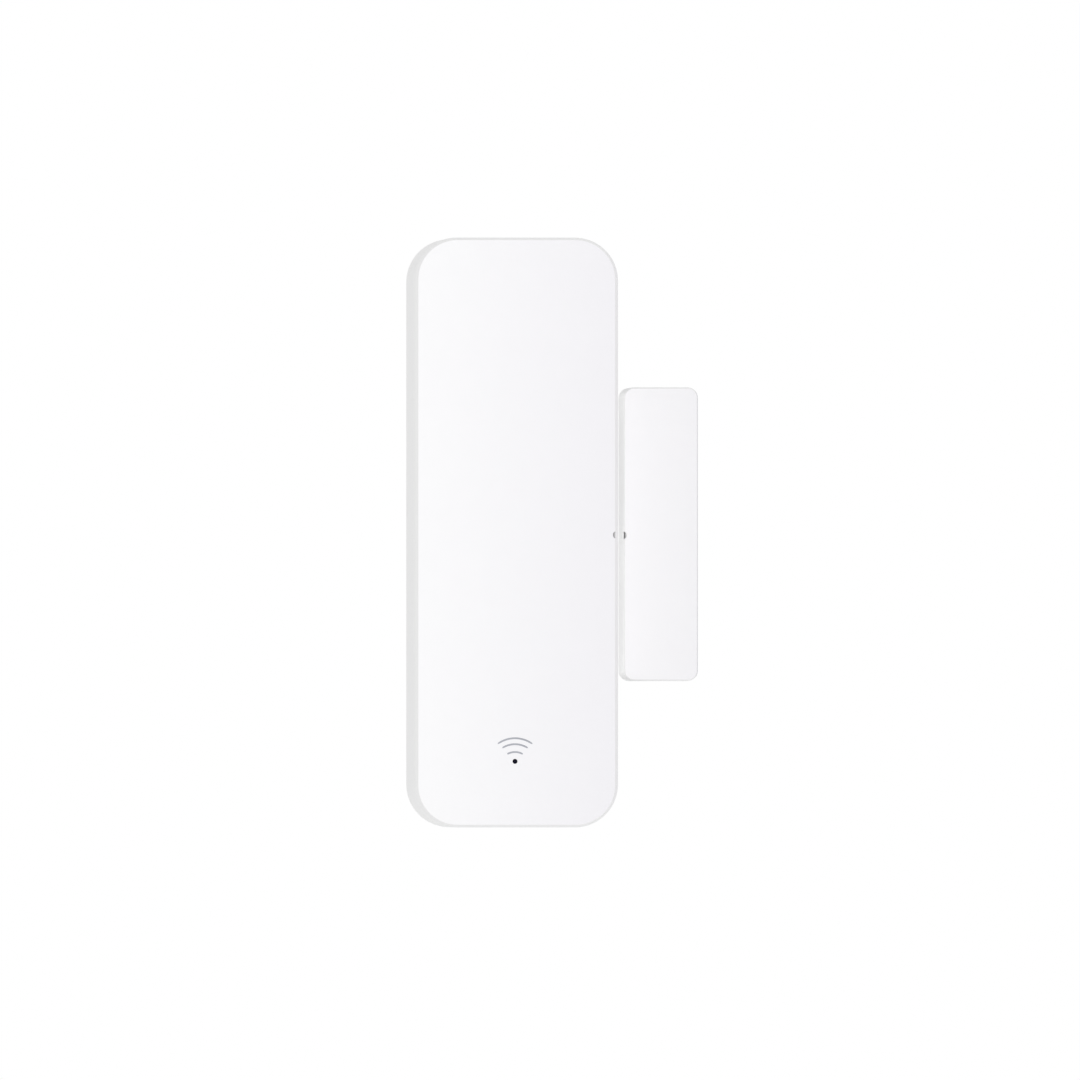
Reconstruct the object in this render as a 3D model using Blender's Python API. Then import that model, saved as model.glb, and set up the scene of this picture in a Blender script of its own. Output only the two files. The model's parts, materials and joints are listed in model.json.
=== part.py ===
"""Door contact sensor: a battery-powered sensor unit and the magnet unit that sits beside it.

Axes: +X is right, +Z is up, and the front of both units faces -Y. The origin is the middle of the
sensor unit's adhesive face. Sizes are in millimetres, and MM turns them into metres when a mesh is
made. A depth is a distance in front of the adhesive face, so a point at depth d has y = -d.
"""

import math

import bmesh
import bpy
from mathutils import Matrix, Vector

MM = 0.001

# Sensor unit. A taper is how far the side walls and the end walls lean in near the face.
SENSOR_WIDTH = 24.6
SENSOR_HEIGHT = 71.0
SENSOR_DEPTH = 19.8
SENSOR_CORNER = 5.2
SENSOR_TAPER = (0.43, 0.3)
SENSOR_TAPER_DEPTH = 1.2
SENSOR_WALL = 1.3
FRONT_WALL = 1.5

# Magnet unit, to the right of the sensor unit and a hair below its middle
MAGNET_WIDTH = 9.0
MAGNET_HEIGHT = 35.4
MAGNET_DEPTH = 11.4
MAGNET_CORNER = 1.25
MAGNET_TAPER = (0.14, 0.14)
MAGNET_TAPER_DEPTH = 0.5
MAGNET_WALL = 1.0
UNIT_GAP = 1.1
MAGNET_X = SENSOR_WIDTH / 2 + UNIT_GAP + MAGNET_WIDTH / 2
MAGNET_Z = -0.15

# Adhesive pads: width, height and corner radius
TAPE_DEPTH = 0.8
BASE_TAPE = (20.0, 60.0, 3.0)
MAGNET_TAPE = (6.5, 32.0, 1.0)

# Back plates
PLATE_BACK = 0.9
PLATE_FRONT = 2.2
PLATE_EDGE = 0.35
MAGNET_PLATE_EDGE = 0.15
SEAM = 0.2
LIP_FRONT = 4.0
LIP_WALL = 0.8
MAGNET_PLATE_FRONT = 1.9
MAGNET_LIP_FRONT = 3.0
MAGNET_LIP_WALL = 0.6

# Snap bumps on the lip, and the notch that a coin or nail pries in
SNAP_Z = 20.0
SNAP_LENGTH = 6.0
SNAP_BACK = 3.0
SNAP_FRONT = 3.6
NOTCH_WIDTH = 8.0
NOTCH_REACH = 0.7
NOTCH_BACK = 1.6

# Clearances, and how far joined solids reach into each other
FIT = 0.3
REST_GAP = 0.1
OVERLAP = 0.3
NUDGE = 0.02
CUT_EXTRA = 1.0
MERGE = 0.001

# Half-round alignment pockets that face each other across the gap
POCKET_RADIUS = 0.435
POCKET_DEPTH = 0.3
POCKET_RIM = 0.04

# AAA cells
CELL_RADIUS = 5.25
CELL_LENGTH = 44.5
CELL_NUB_RADIUS = 1.9
CELL_NUB_LENGTH = 0.8
CELL_NUB_EDGE = 0.2
CELL_SHOULDER = 0.5
CELL_DISH_RADIUS = 3.7
CELL_DISH_WALL = 0.3
CELL_DISH = 0.2
CELL_X = 5.35
CELL_DEPTH = 7.75
LEFT_CELL_TIP = 31.2
RIGHT_CELL_TIP = -15.4

# Battery holder
HOLDER_WIDTH = 21.2
HOLDER_CORNER = 3.0
HOLDER_BACK = 10.5
HOLDER_FRONT = 13.9
HOLDER_END_BACK = LIP_FRONT + FIT
HOLDER_END_WIDTH = 18.4
HOLDER_END_WALL = 0.9
CHAMBER_TOP = 31.9
CHAMBER_BOTTOM = -16.2
SADDLE_RADIUS = 5.45
PEG_RADIUS = 0.8
PEG_FRONT = 15.9
PEG_HEIGHTS = (30.3, -10.0)

# Battery contacts
CONTACT_THICKNESS = 0.3
CONTACT_WIDTH = 7.0
CONTACT_BACK = 4.6
CONTACT_FRONT = 11.6
TAIL_WIDTH = 1.4
TAIL_FRONT = 16.0
SPRING_WIRE = 0.25
SPRING_TURNS = 3
SPRING_BASE_RADIUS = 2.6
SPRING_TIP_RADIUS = 1.4
SPRING_SINK = 0.05

# Hook inside the cover that holds the top of the board
HOOK_WIDTH = 6.0
HOOK_DEPTH = 1.0

# Circuit board
BOARD_WIDTH = 21.0
BOARD_HEIGHT = 66.8
BOARD_CORNER = 3.0
BOARD_BACK = 14.2
BOARD_FRONT = 15.2
PART_BACK = BOARD_FRONT + REST_GAP
HOLE_RADIUS = 1.1

# Board screws and the posts moulded inside the cover
SCREW_X = 7.5
SCREW_Z = -31.0
SCREW_SHANK_RADIUS = 0.75
SCREW_HEAD_RADIUS = 1.6
SCREW_HEAD_EDGE = (0.4, 0.5)
SCREW_HEAD_BACK = 12.5
SCREW_TIP = 18.2
SCREW_POINT_RADIUS = 0.3
SCREW_POINT_LENGTH = 0.5
RECESS_ARM = 1.0
RECESS_SLOT = 0.18
RECESS_DEPTH = 0.65
BOSS_RADIUS = 2.2
REST_POST_RADIUS = 1.6
REST_POST_Z = 31.0

# Radio module
RADIO_WIDTH = 15.5
RADIO_BOTTOM = 8.5
RADIO_TOP = 28.5
RADIO_THICKNESS = 0.8
RADIO_PADS = 8
RADIO_PAD_PITCH = 2.0
RADIO_PAD_START = 1.2
RADIO_PAD_RADIUS = 0.4
SHIELD_SIDE = 12.0
SHIELD_RISE = 1.0
SHIELD_FRONT = 18.0
SHIELD_WALL = 0.2
SHIELD_CORNER = 0.6
SHIELD_EDGE = 0.15

# Reed switch, upright beside the right-hand wall
REED_X = 8.7
REED_DEPTH = 16.6
GLASS_LENGTH = 14.0
GLASS_RADIUS = 1.1
GLASS_BORE = 0.8
GLASS_SEAL = 1.6
GLASS_END = (0.25, 0.1, 0.7)
GLASS_BORE_END = 0.5
LEAD_HOLE = 0.55
LEAD_SLOT = 0.8
BLADE_WIDTH = 0.8
BLADE_THICKNESS = 0.2
BLADE_OVERLAP = 1.0
BLADE_GAP = 0.1
LEAD_REACH = 8.8
LEAD_TIP = 14.6
REED_PIVOT_Z = -(GLASS_LENGTH / 2 - GLASS_SEAL)

# Indicator
LIGHT_X = -0.2
LIGHT_Z = -27.55
PIPE_RADIUS = 0.28
PIPE_HOLE_RADIUS = 0.33
PIPE_SINK = 0.02
PIPE_DOME = (0.05, 0.06)
PIPE_FLANGE_RADIUS = 1.3
PIPE_FLANGE_BACK = 16.6
PIPE_FLANGE_FRONT = 18.0
PIPE_FLANGE_EDGE = 0.3
PIPE_COLLAR_RADIUS = 2.2
PIPE_SOCKET_EXTRA = 0.5

# Pairing switch and tall capacitor, on the back of the board below the cells
SWITCH_X = 5.0
SWITCH_Z = -24.0
SWITCH_SIDE = 6.0
SWITCH_BACK = 10.6
SWITCH_WELL_RADIUS = 2.0
SWITCH_WELL_FRONT = 13.2
PLUNGER_RADIUS = 1.65
PLUNGER_BACK = 8.8
PLUNGER_FRONT = 12.3
PLUNGER_EDGE = 0.15
DOME_RADIUS = 1.7
DOME_BEND_RADIUS = 1.0
DOME_THICKNESS = 0.12
DOME_LIFT = 0.08
DOME_RISE = 0.35
DOME_BEND_SHARE = 0.8
CAPACITOR_X = -4.5
CAPACITOR_Z = -23.5
CAPACITOR_RADIUS = 3.15
CAPACITOR_BACK = 6.2
CAPACITOR_EDGE = 0.5
CAPACITOR_GROOVE = 0.25
CAPACITOR_GROOVE_ENDS = (1.9, 1.2)
CAPACITOR_GROOVE_SLOPE = 0.2
CAPACITOR_BASE = 0.8
CAPACITOR_BASE_MARGIN = 0.15
CAPACITOR_BASE_CUT = 0.6

# Small parts on the front of the board: width, height and depth, and where their middles are
CHIP_EDGE = 0.08
RESISTOR_SIZE = (0.8, 1.6, 0.45)
RESISTOR_PLACES = ((-3, -20), (0, -20), (3, -20))
CERAMIC_SIZE = (0.8, 1.6, 0.8)
CERAMIC_PLACES = ((-4, -5.5), (-1, -5.5), (2, -5.5))
TANTALUM_SIZE = (3.5, 2.8, 1.9)
TANTALUM_PLACE = (-0.5, 2.5)
INDUCTOR_SIZE = (4.0, 4.0, 1.9)
INDUCTOR_PLACE = (-6.5, 2.5)
INDUCTOR_WELL_RADIUS = 1.4
INDUCTOR_WELL_DEPTH = 0.3
LED_SIZE = (1.6, 0.8, 0.6)
REGULATOR_SIZE = (1.6, 2.9, 1.1)
REGULATOR_PLACE = (-6.5, -6)
LEG_SIZE = (1.0, 0.4, 0.23)
LEG_PLACES = ((-1, -1), (-1, 1), (1, 0))

# Magnet
BAR_WIDTH = 5.0
BAR_HEIGHT = 20.0
BAR_CORNER = 0.4
BAR_BACK = 3.3
BAR_FRONT = 9.0
RIB_BACK = 5.0
RIB_WALL = 0.8
FOAM_FRONT = 10.1
FOAM_MARGIN = 0.3
FOAM_END_MARGIN = 1.0
FOAM_CORNER = 0.5

# Smoothness of round stretches
CORNER_STEPS = 8
ROUND_STEPS = 32
SMALL_STEPS = 16
COIL_STEPS = 16
WIRE_STEPS = 8
PAD_STEPS = 12
GLASS_STEPS = 24
RIM_STEPS = 3
SHARP_ANGLE = 30
FLAT_WEIGHT = 100
AXIS_MARK = 5.0

# Finishes: base colour, roughness, metallic
WHITE_PLASTIC = ((0.90, 0.90, 0.91), 0.45, 0.0)
GREY_PLASTIC = ((0.55, 0.56, 0.58), 0.5, 0.0)
BLACK_PLASTIC = ((0.03, 0.03, 0.035), 0.45, 0.0)
DARK_RESIN = ((0.02, 0.02, 0.04), 0.1, 0.0)
CLEAR_GLASS = ((0.80, 0.88, 0.84), 0.03, 0.0)
LED_RESIN = ((0.90, 0.88, 0.70), 0.2, 0.0)
FOAM = ((0.75, 0.75, 0.73), 0.9, 0.0)
DARK_FOAM = ((0.08, 0.08, 0.08), 0.95, 0.0)
BOARD_GREEN = ((0.02, 0.16, 0.08), 0.35, 0.0)
RADIO_BLUE = ((0.01, 0.04, 0.14), 0.35, 0.0)
NICKEL = ((0.70, 0.69, 0.66), 0.25, 1.0)
STEEL = ((0.56, 0.57, 0.58), 0.3, 1.0)
ALUMINIUM = ((0.80, 0.80, 0.81), 0.3, 1.0)
CELL_WRAP = ((0.16, 0.18, 0.20), 0.3, 0.2)
TANTALUM = ((0.75, 0.48, 0.08), 0.45, 0.0)
FERRITE = ((0.09, 0.09, 0.10), 0.6, 0.1)
CERAMIC = ((0.55, 0.42, 0.30), 0.5, 0.0)


def clear_scene():
    for obj in list(bpy.data.objects):
        bpy.data.objects.remove(obj, do_unlink=True)


# Outlines, as (x, z) pairs


def rounded_rectangle(width, height, radius, centre=(0.0, 0.0)):
    points = []
    for quarter, (side_x, side_z) in enumerate(((1, 1), (-1, 1), (-1, -1), (1, -1))):
        middle_x = centre[0] + side_x * (width / 2 - radius)
        middle_z = centre[1] + side_z * (height / 2 - radius)
        for step in range(CORNER_STEPS + 1):
            angle = math.radians(90 * (quarter + step / CORNER_STEPS))
            points.append(
                (middle_x + radius * math.cos(angle), middle_z + radius * math.sin(angle))
            )
    return points


def rectangle(left, right, bottom, top):
    return [(right, top), (left, top), (left, bottom), (right, bottom)]


def circle(centre, radius, steps):
    return [
        (
            centre[0] + radius * math.cos(math.tau * step / steps),
            centre[1] + radius * math.sin(math.tau * step / steps),
        )
        for step in range(steps)
    ]


def half_disc(flat_x, middle_z, side):
    """Half disc whose flat side is at flat_x and which bulges towards side (+1 or -1)."""
    points = []
    for step in range(SMALL_STEPS + 1):
        angle = math.pi * (step / SMALL_STEPS - 0.5)
        across = side * POCKET_RADIUS * math.cos(angle)
        points.append((flat_x + across, middle_z + POCKET_RADIUS * math.sin(angle)))
    return points


def cross(arm, half_slot):
    """Plus sign with arms that reach arm from its middle and are half_slot wide each way."""
    points = []
    for side_x, side_z in ((1, 1), (-1, 1), (-1, -1), (1, -1)):
        corner = [(arm, half_slot), (half_slot, half_slot), (half_slot, arm)]
        if side_x * side_z < 0:
            corner.reverse()
        points += [(side_x * x, side_z * z) for x, z in corner]
    return points


# Solids added to a bmesh


def add_loft(shape, sections):
    """Solid through (outline, depth) sections whose outlines have equally many (x, z) points."""
    rings = []
    for outline, depth in sections:
        rings.append([shape.verts.new((x * MM, -depth * MM, z * MM)) for x, z in outline])
    shape.faces.new(rings[0])
    shape.faces.new(rings[-1])
    for ring, following in zip(rings, rings[1:]):
        for index, vert in enumerate(ring):
            shape.faces.new((vert, ring[index - 1], following[index - 1], following[index]))


def add_prism(shape, outline, back, front):
    add_loft(shape, [(outline, back), (outline, front)])


def add_box(shape, left, right, bottom, top, back, front):
    add_prism(shape, rectangle(left, right, bottom, top), back, front)


def add_rod(shape, centre, radius, back, front, steps=ROUND_STEPS):
    add_prism(shape, circle(centre, radius, steps), back, front)


def add_turned(shape, profile, placement, steps=ROUND_STEPS, closed=False):
    """Solid turned about +Z from (radius, height) pairs, then moved by a placement matrix.

    A closed profile makes a ring, and an open one starts and ends on the axis.
    """
    points = [shape.verts.new((radius * MM, 0, height * MM)) for radius, height in profile]
    pairs = list(zip(points, points[1:]))
    if closed:
        pairs.append((points[-1], points[0]))
    edges = [shape.edges.new(pair) for pair in pairs]
    before = set(shape.verts) - set(points)
    bmesh.ops.spin(
        shape,
        geom=points + edges,
        cent=(0, 0, 0),
        axis=(0, 0, 1),
        angle=math.tau,
        steps=steps,
        use_merge=True,
    )
    turned = [vert for vert in shape.verts if vert not in before]
    bmesh.ops.remove_doubles(shape, verts=turned, dist=MERGE * MM)
    turned = [vert for vert in shape.verts if vert not in before]
    bmesh.ops.transform(shape, matrix=placement, verts=turned)


def add_wire(shape, path, radius):
    """Round wire along a path of points in millimetres, with flat ends."""
    points = [Vector(point) for point in path]
    side = (points[1] - points[0]).orthogonal().normalized()
    rings = []
    for index, point in enumerate(points):
        ahead = points[min(index + 1, len(points) - 1)]
        behind = points[max(index - 1, 0)]
        along = (ahead - behind).normalized()
        side = (side - along * side.dot(along)).normalized()
        across = along.cross(side)
        ring = []
        for step in range(WIRE_STEPS):
            angle = math.tau * step / WIRE_STEPS
            offset = (side * math.cos(angle) + across * math.sin(angle)) * radius
            ring.append(shape.verts.new((point + offset) * MM))
        rings.append(ring)
    for ring, following in zip(rings, rings[1:]):
        for step in range(WIRE_STEPS):
            after = (step + 1) % WIRE_STEPS
            shape.faces.new((ring[step], ring[after], following[after], following[step]))
    shape.faces.new(rings[0])
    shape.faces.new(rings[-1])


def bevel_rim(shape, depth, width, segments=1):
    """Bevels every edge that lies flat at one depth."""
    rim = [
        edge
        for edge in shape.edges
        if all(abs(vert.co.y + depth * MM) < MERGE * MM for vert in edge.verts)
    ]
    bmesh.ops.bevel(
        shape,
        geom=rim,
        offset=width * MM,
        segments=segments,
        profile=0.5,
        affect="EDGES",
    )


def upright(x, depth, z, flipped=False):
    """Placement of a turned solid whose axis stands up, or hangs down if flipped."""
    turn = Matrix.Rotation(math.pi if flipped else 0.0, 4, "X")
    return Matrix.Translation(Vector((x, -depth, z)) * MM) @ turn


def facing_front(x, z):
    """Placement of a turned solid whose heights are depths."""
    return Matrix.Translation(Vector((x, 0, z)) * MM) @ Matrix.Rotation(math.pi / 2, 4, "X")


# Objects


def make_object(name, shape):
    bmesh.ops.recalc_face_normals(shape, faces=shape.faces)
    mesh = bpy.data.meshes.new(name)
    shape.to_mesh(mesh)
    shape.free()
    mesh.shade_smooth()
    mesh.set_sharp_from_angle(angle=math.radians(SHARP_ANGLE))
    obj = bpy.data.objects.new(name, mesh)
    bpy.context.collection.objects.link(obj)
    return obj


def make_part(name, shape, finish, mover=None):
    """Object with its own material, carried by the empty of the body that it moves with."""
    obj = make_object(name, shape)
    colour, roughness, metallic = finish
    material = bpy.data.materials.new(name)
    material.use_nodes = True
    settings = material.node_tree.nodes["Principled BSDF"].inputs
    settings["Base Color"].default_value = (*colour, 1.0)
    settings["Roughness"].default_value = roughness
    settings["Metallic"].default_value = metallic
    obj.data.materials.append(material)
    if mover:
        obj.parent = mover
        obj.matrix_parent_inverse = origin_of(mover).inverted()
    return obj


def origin_of(mover):
    place = Matrix.Translation(mover.location)
    return origin_of(mover.parent) @ place if mover.parent else place


def make_mover(name, point, parent=None):
    """Empty on a joint's axis, at a point in millimetres."""
    mover = bpy.data.objects.new(name, None)
    mover.empty_display_size = AXIS_MARK * MM
    mover.location = Vector(point) * MM
    if parent:
        mover.parent = parent
        mover.location -= origin_of(parent).translation
    bpy.context.collection.objects.link(mover)
    return mover


def combine(obj, shape, operation, label):
    """Boolean with a helper object, which stays in the scene unrendered and follows obj."""
    helper = make_object(f"{obj.name}_{label}", shape)
    helper.hide_render = True
    helper.display_type = "WIRE"
    helper.parent = obj.parent
    helper.matrix_parent_inverse = obj.matrix_parent_inverse
    modifier = obj.modifiers.new(label, "BOOLEAN")
    modifier.operation = operation
    modifier.solver = "EXACT"
    modifier.object = helper


def cut(obj, shape, label):
    combine(obj, shape, "DIFFERENCE", label)


def join(obj, shape, label):
    combine(obj, shape, "UNION", label)


def keep_flats_flat():
    """Weighs normals by face area, so that large flat faces with cuts in them shade flat."""
    for obj in bpy.data.objects:
        if any(modifier.type == "BOOLEAN" for modifier in obj.modifiers):
            obj.modifiers.new("shading", "WEIGHTED_NORMAL").weight = FLAT_WEIGHT


# Parts that both units have


def make_tape(name, centre, size, finish, mover=None):
    shape = bmesh.new()
    add_prism(shape, rounded_rectangle(*size, centre), 0, TAPE_DEPTH)
    return make_part(name, shape, finish, mover)


def make_plate(name, centre, size, corner, edge, front, mover=None):
    """Back plate whose rear rim is rounded."""
    shape = bmesh.new()
    add_prism(shape, rounded_rectangle(*size, corner, centre), PLATE_BACK, front)
    bevel_rim(shape, PLATE_BACK, edge, segments=RIM_STEPS)
    return make_part(name, shape, WHITE_PLASTIC, mover)


def add_lip(plate, centre, size, corner, wall, back, front):
    """Low wall on a back plate that locates the cover."""
    lip = bmesh.new()
    add_prism(lip, rounded_rectangle(*size, corner, centre), back - OVERLAP, front)
    join(plate, lip, "lip")
    inner = [side - 2 * wall for side in size]
    hollow = bmesh.new()
    outline = rounded_rectangle(*inner, max(corner - wall, wall), centre)
    add_prism(hollow, outline, back - OVERLAP / 2, front + CUT_EXTRA)
    cut(plate, hollow, "lip_hollow")


def make_shell(name, centre, size, corner, taper, wall, depths, mover):
    """Cover that is open at the back and narrows a little near its face.

    taper is how far the side walls and the end walls lean in, and over what depth; wall is the side
    and front thickness; depths are where the cover starts and where its face is.
    """
    back, front = depths
    lean, lean_depth = taper
    side_wall, front_wall = wall
    outer = rounded_rectangle(*size, corner, centre)
    face_size = [side - 2 * across for side, across in zip(size, lean)]
    face = rounded_rectangle(*face_size, corner - max(lean), centre)
    shape = bmesh.new()
    add_loft(shape, [(outer, back), (outer, front - lean_depth), (face, front)])
    cover = make_part(name, shape, WHITE_PLASTIC, mover)
    inner = [side - 2 * side_wall for side in size]
    hollow = bmesh.new()
    outline = rounded_rectangle(*inner, max(corner - side_wall, side_wall / 2), centre)
    add_prism(hollow, outline, back - CUT_EXTRA, front - front_wall)
    cut(cover, hollow, "hollow")
    return cover


def cut_pocket(cover, flat_x, side, depth):
    pocket = bmesh.new()
    add_prism(pocket, half_disc(flat_x, MAGNET_Z, side), depth - POCKET_DEPTH, depth + CUT_EXTRA)
    cut(cover, pocket, "alignment_pocket")


# Sensor unit: casing


def make_back_plate():
    size = (SENSOR_WIDTH, SENSOR_HEIGHT)
    plate = make_plate("back_plate", (0, 0), size, SENSOR_CORNER, PLATE_EDGE, PLATE_FRONT)
    inset = 2 * (SENSOR_WALL + FIT)
    lip_size = (SENSOR_WIDTH - inset, SENSOR_HEIGHT - inset)
    lip_corner = SENSOR_CORNER - SENSOR_WALL - FIT
    add_lip(plate, (0, 0), lip_size, lip_corner, LIP_WALL, PLATE_FRONT, LIP_FRONT)
    snaps = bmesh.new()
    snap_reach = lip_size[0] / 2 + FIT / 2
    snap_root = lip_size[0] / 2 - LIP_WALL / 2
    for side in (-1, 1):
        for middle in (-SNAP_Z, SNAP_Z):
            edges = sorted((side * snap_root, side * snap_reach))
            ends = (middle - SNAP_LENGTH / 2, middle + SNAP_LENGTH / 2)
            add_box(snaps, *edges, *ends, SNAP_BACK, SNAP_FRONT)
    join(plate, snaps, "snaps")
    notch = bmesh.new()
    half = NOTCH_WIDTH / 2
    bottom = -SENSOR_HEIGHT / 2
    ends = (bottom - CUT_EXTRA, bottom + NOTCH_REACH)
    add_box(notch, -half, half, *ends, NOTCH_BACK, PLATE_FRONT + CUT_EXTRA)
    cut(plate, notch, "pry_notch")


def make_front_cover(mover):
    inner_front = SENSOR_DEPTH - FRONT_WALL
    size = (SENSOR_WIDTH, SENSOR_HEIGHT)
    taper = (SENSOR_TAPER, SENSOR_TAPER_DEPTH)
    wall = (SENSOR_WALL, FRONT_WALL)
    depths = (PLATE_FRONT + SEAM, SENSOR_DEPTH)
    cover = make_shell("front_cover", (0, 0), size, SENSOR_CORNER, taper, wall, depths, mover)
    posts = bmesh.new()
    post_back = BOARD_FRONT + FIT
    post_front = inner_front + OVERLAP
    for side in (-1, 1):
        add_rod(posts, (side * SCREW_X, SCREW_Z), BOSS_RADIUS, post_back, post_front, SMALL_STEPS)
        rest = (side * SCREW_X, REST_POST_Z)
        add_rod(posts, rest, REST_POST_RADIUS, post_back, post_front, SMALL_STEPS)
    add_rod(posts, (LIGHT_X, LIGHT_Z), PIPE_COLLAR_RADIUS, PIPE_FLANGE_BACK + FIT, post_front)
    join(cover, posts, "posts")
    hook = bmesh.new()
    holder_top = CHAMBER_TOP + HOLDER_END_WALL
    wall_top = SENSOR_HEIGHT / 2 - SENSOR_WALL
    hook_front = BOARD_BACK - FIT
    half = HOOK_WIDTH / 2
    ends = (holder_top + FIT, wall_top + OVERLAP)
    add_box(hook, -half, half, *ends, hook_front - HOOK_DEPTH, hook_front)
    join(cover, hook, "board_hook")
    holes = bmesh.new()
    for side in (-1, 1):
        hole_radius = SCREW_SHANK_RADIUS + FIT
        hole_ends = (post_back - CUT_EXTRA, SCREW_TIP + FIT)
        add_rod(holes, (side * SCREW_X, SCREW_Z), hole_radius, *hole_ends, SMALL_STEPS)
    socket_ends = (PIPE_FLANGE_BACK - CUT_EXTRA, PIPE_FLANGE_FRONT + PIPE_SOCKET_EXTRA)
    add_rod(holes, (LIGHT_X, LIGHT_Z), PIPE_FLANGE_RADIUS + FIT, *socket_ends, SMALL_STEPS)
    cut(cover, holes, "post_holes")
    window = bmesh.new()
    window_ends = (inner_front - CUT_EXTRA, SENSOR_DEPTH + CUT_EXTRA)
    add_rod(window, (LIGHT_X, LIGHT_Z), PIPE_HOLE_RADIUS, *window_ends)
    cut(cover, window, "light_hole")
    cut_pocket(cover, SENSOR_WIDTH / 2 - SENSOR_TAPER[0] - POCKET_RIM, -1, SENSOR_DEPTH)


# Sensor unit: power


def make_battery_holder(mover):
    shape = bmesh.new()
    bottom = CHAMBER_BOTTOM - HOLDER_END_WALL
    top = CHAMBER_TOP + HOLDER_END_WALL
    middle = (0, (bottom + top) / 2)
    outline = rounded_rectangle(HOLDER_WIDTH, top - bottom, HOLDER_CORNER, middle)
    add_prism(shape, outline, HOLDER_BACK, HOLDER_FRONT)
    holder = make_part("battery_holder", shape, BLACK_PLASTIC, mover)
    saddles = bmesh.new()
    length = CHAMBER_TOP - CHAMBER_BOTTOM
    for side in (-1, 1):
        profile = [(0, 0), (SADDLE_RADIUS, 0), (SADDLE_RADIUS, length), (0, length)]
        add_turned(saddles, profile, upright(side * CELL_X, CELL_DEPTH, CHAMBER_BOTTOM))
    cut(holder, saddles, "saddles")
    extras = bmesh.new()
    half_end = HOLDER_END_WIDTH / 2
    overlap_front = HOLDER_FRONT - OVERLAP
    for low in (bottom, CHAMBER_TOP):
        ends = (low + NUDGE, low + HOLDER_END_WALL - NUDGE)
        add_box(extras, -half_end, half_end, *ends, HOLDER_END_BACK, overlap_front)
    for height in PEG_HEIGHTS:
        add_rod(extras, (0, height), PEG_RADIUS, overlap_front, PEG_FRONT, SMALL_STEPS)
    join(holder, extras, "end_walls_and_pegs")
    slots = bmesh.new()
    for side in (-1, 1):
        middle = side * CELL_X
        edges = (middle - TAIL_WIDTH / 2 - FIT, middle + TAIL_WIDTH / 2 + FIT)
        heights = (CHAMBER_BOTTOM - FIT / 2, CHAMBER_BOTTOM + 3 * FIT)
        add_box(slots, *edges, *heights, HOLDER_BACK, HOLDER_FRONT + CUT_EXTRA)
    cut(holder, slots, "tail_slots")


def make_battery(name, x, base_z, flipped, mover):
    shoulder = CELL_LENGTH - CELL_NUB_LENGTH
    profile = [
        (0, CELL_DISH),
        (CELL_DISH_RADIUS - CELL_DISH_WALL, CELL_DISH),
        (CELL_DISH_RADIUS, 0),
        (CELL_RADIUS - CELL_SHOULDER, 0),
        (CELL_RADIUS, CELL_SHOULDER),
        (CELL_RADIUS, shoulder - CELL_SHOULDER),
        (CELL_RADIUS - CELL_SHOULDER, shoulder),
        (CELL_NUB_RADIUS, shoulder),
        (CELL_NUB_RADIUS, CELL_LENGTH - CELL_NUB_EDGE),
        (CELL_NUB_RADIUS - CELL_NUB_EDGE, CELL_LENGTH),
        (0, CELL_LENGTH),
    ]
    shape = bmesh.new()
    add_turned(shape, profile, upright(x, CELL_DEPTH, base_z, flipped))
    make_part(name, shape, CELL_WRAP, mover)


def coil_path(x, plate_z, tip_z):
    """Conical helix from a contact plate to its cell, flat for its first and last quarter turns."""
    count = SPRING_TURNS * COIL_STEPS
    flat = COIL_STEPS // 4
    points = []
    for step in range(count + 1):
        climb = min(max((step - flat) / (count - 2 * flat), 0.0), 1.0)
        angle = math.tau * step / COIL_STEPS
        radius = SPRING_BASE_RADIUS + (SPRING_TIP_RADIUS - SPRING_BASE_RADIUS) * step / count
        z = plate_z + (tip_z - plate_z) * climb
        points.append((x + radius * math.cos(angle), -CELL_DEPTH + radius * math.sin(angle), z))
    return points


def make_contact(name, left, right, bottom, tail_x, mover):
    """Sheet-metal contact, with a solder tail through the board where tail_x is given."""
    shape = bmesh.new()
    top = bottom + CONTACT_THICKNESS
    front = HOLDER_BACK - FIT if tail_x is None else CONTACT_FRONT
    add_box(shape, left, right, bottom, top, CONTACT_BACK, front)
    contact = make_part(name, shape, NICKEL, mover)
    if tail_x is not None:
        tail = bmesh.new()
        edges = (tail_x - TAIL_WIDTH / 2, tail_x + TAIL_WIDTH / 2)
        thinner = (bottom + NUDGE, top - NUDGE)
        add_box(tail, *edges, *thinner, CONTACT_FRONT - OVERLAP, TAIL_FRONT)
        join(contact, tail, "tail")
    return contact


def add_spring(contact, x, plate_z, tip_z):
    spring = bmesh.new()
    add_wire(spring, coil_path(x, plate_z, tip_z), SPRING_WIRE)
    join(contact, spring, "spring")


def make_contacts(mover):
    half = CONTACT_WIDTH / 2
    wire = SPRING_WIRE + REST_GAP
    top_plate = LEFT_CELL_TIP + REST_GAP
    bridge = make_contact("bridge_contact", -CELL_X - half, CELL_X + half, top_plate, None, mover)
    add_spring(bridge, CELL_X, top_plate + SPRING_SINK, RIGHT_CELL_TIP + CELL_LENGTH + wire)
    left_plate = CHAMBER_BOTTOM + FIT
    negative = make_contact(
        "negative_contact", -CELL_X - half, -CELL_X + half, left_plate, -CELL_X, mover
    )
    spring_base = left_plate + CONTACT_THICKNESS - SPRING_SINK
    add_spring(negative, -CELL_X, spring_base, LEFT_CELL_TIP - CELL_LENGTH - wire)
    right_plate = RIGHT_CELL_TIP - REST_GAP - CONTACT_THICKNESS
    make_contact("positive_contact", CELL_X - half, CELL_X + half, right_plate, CELL_X, mover)


# Sensor unit: electronics


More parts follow.
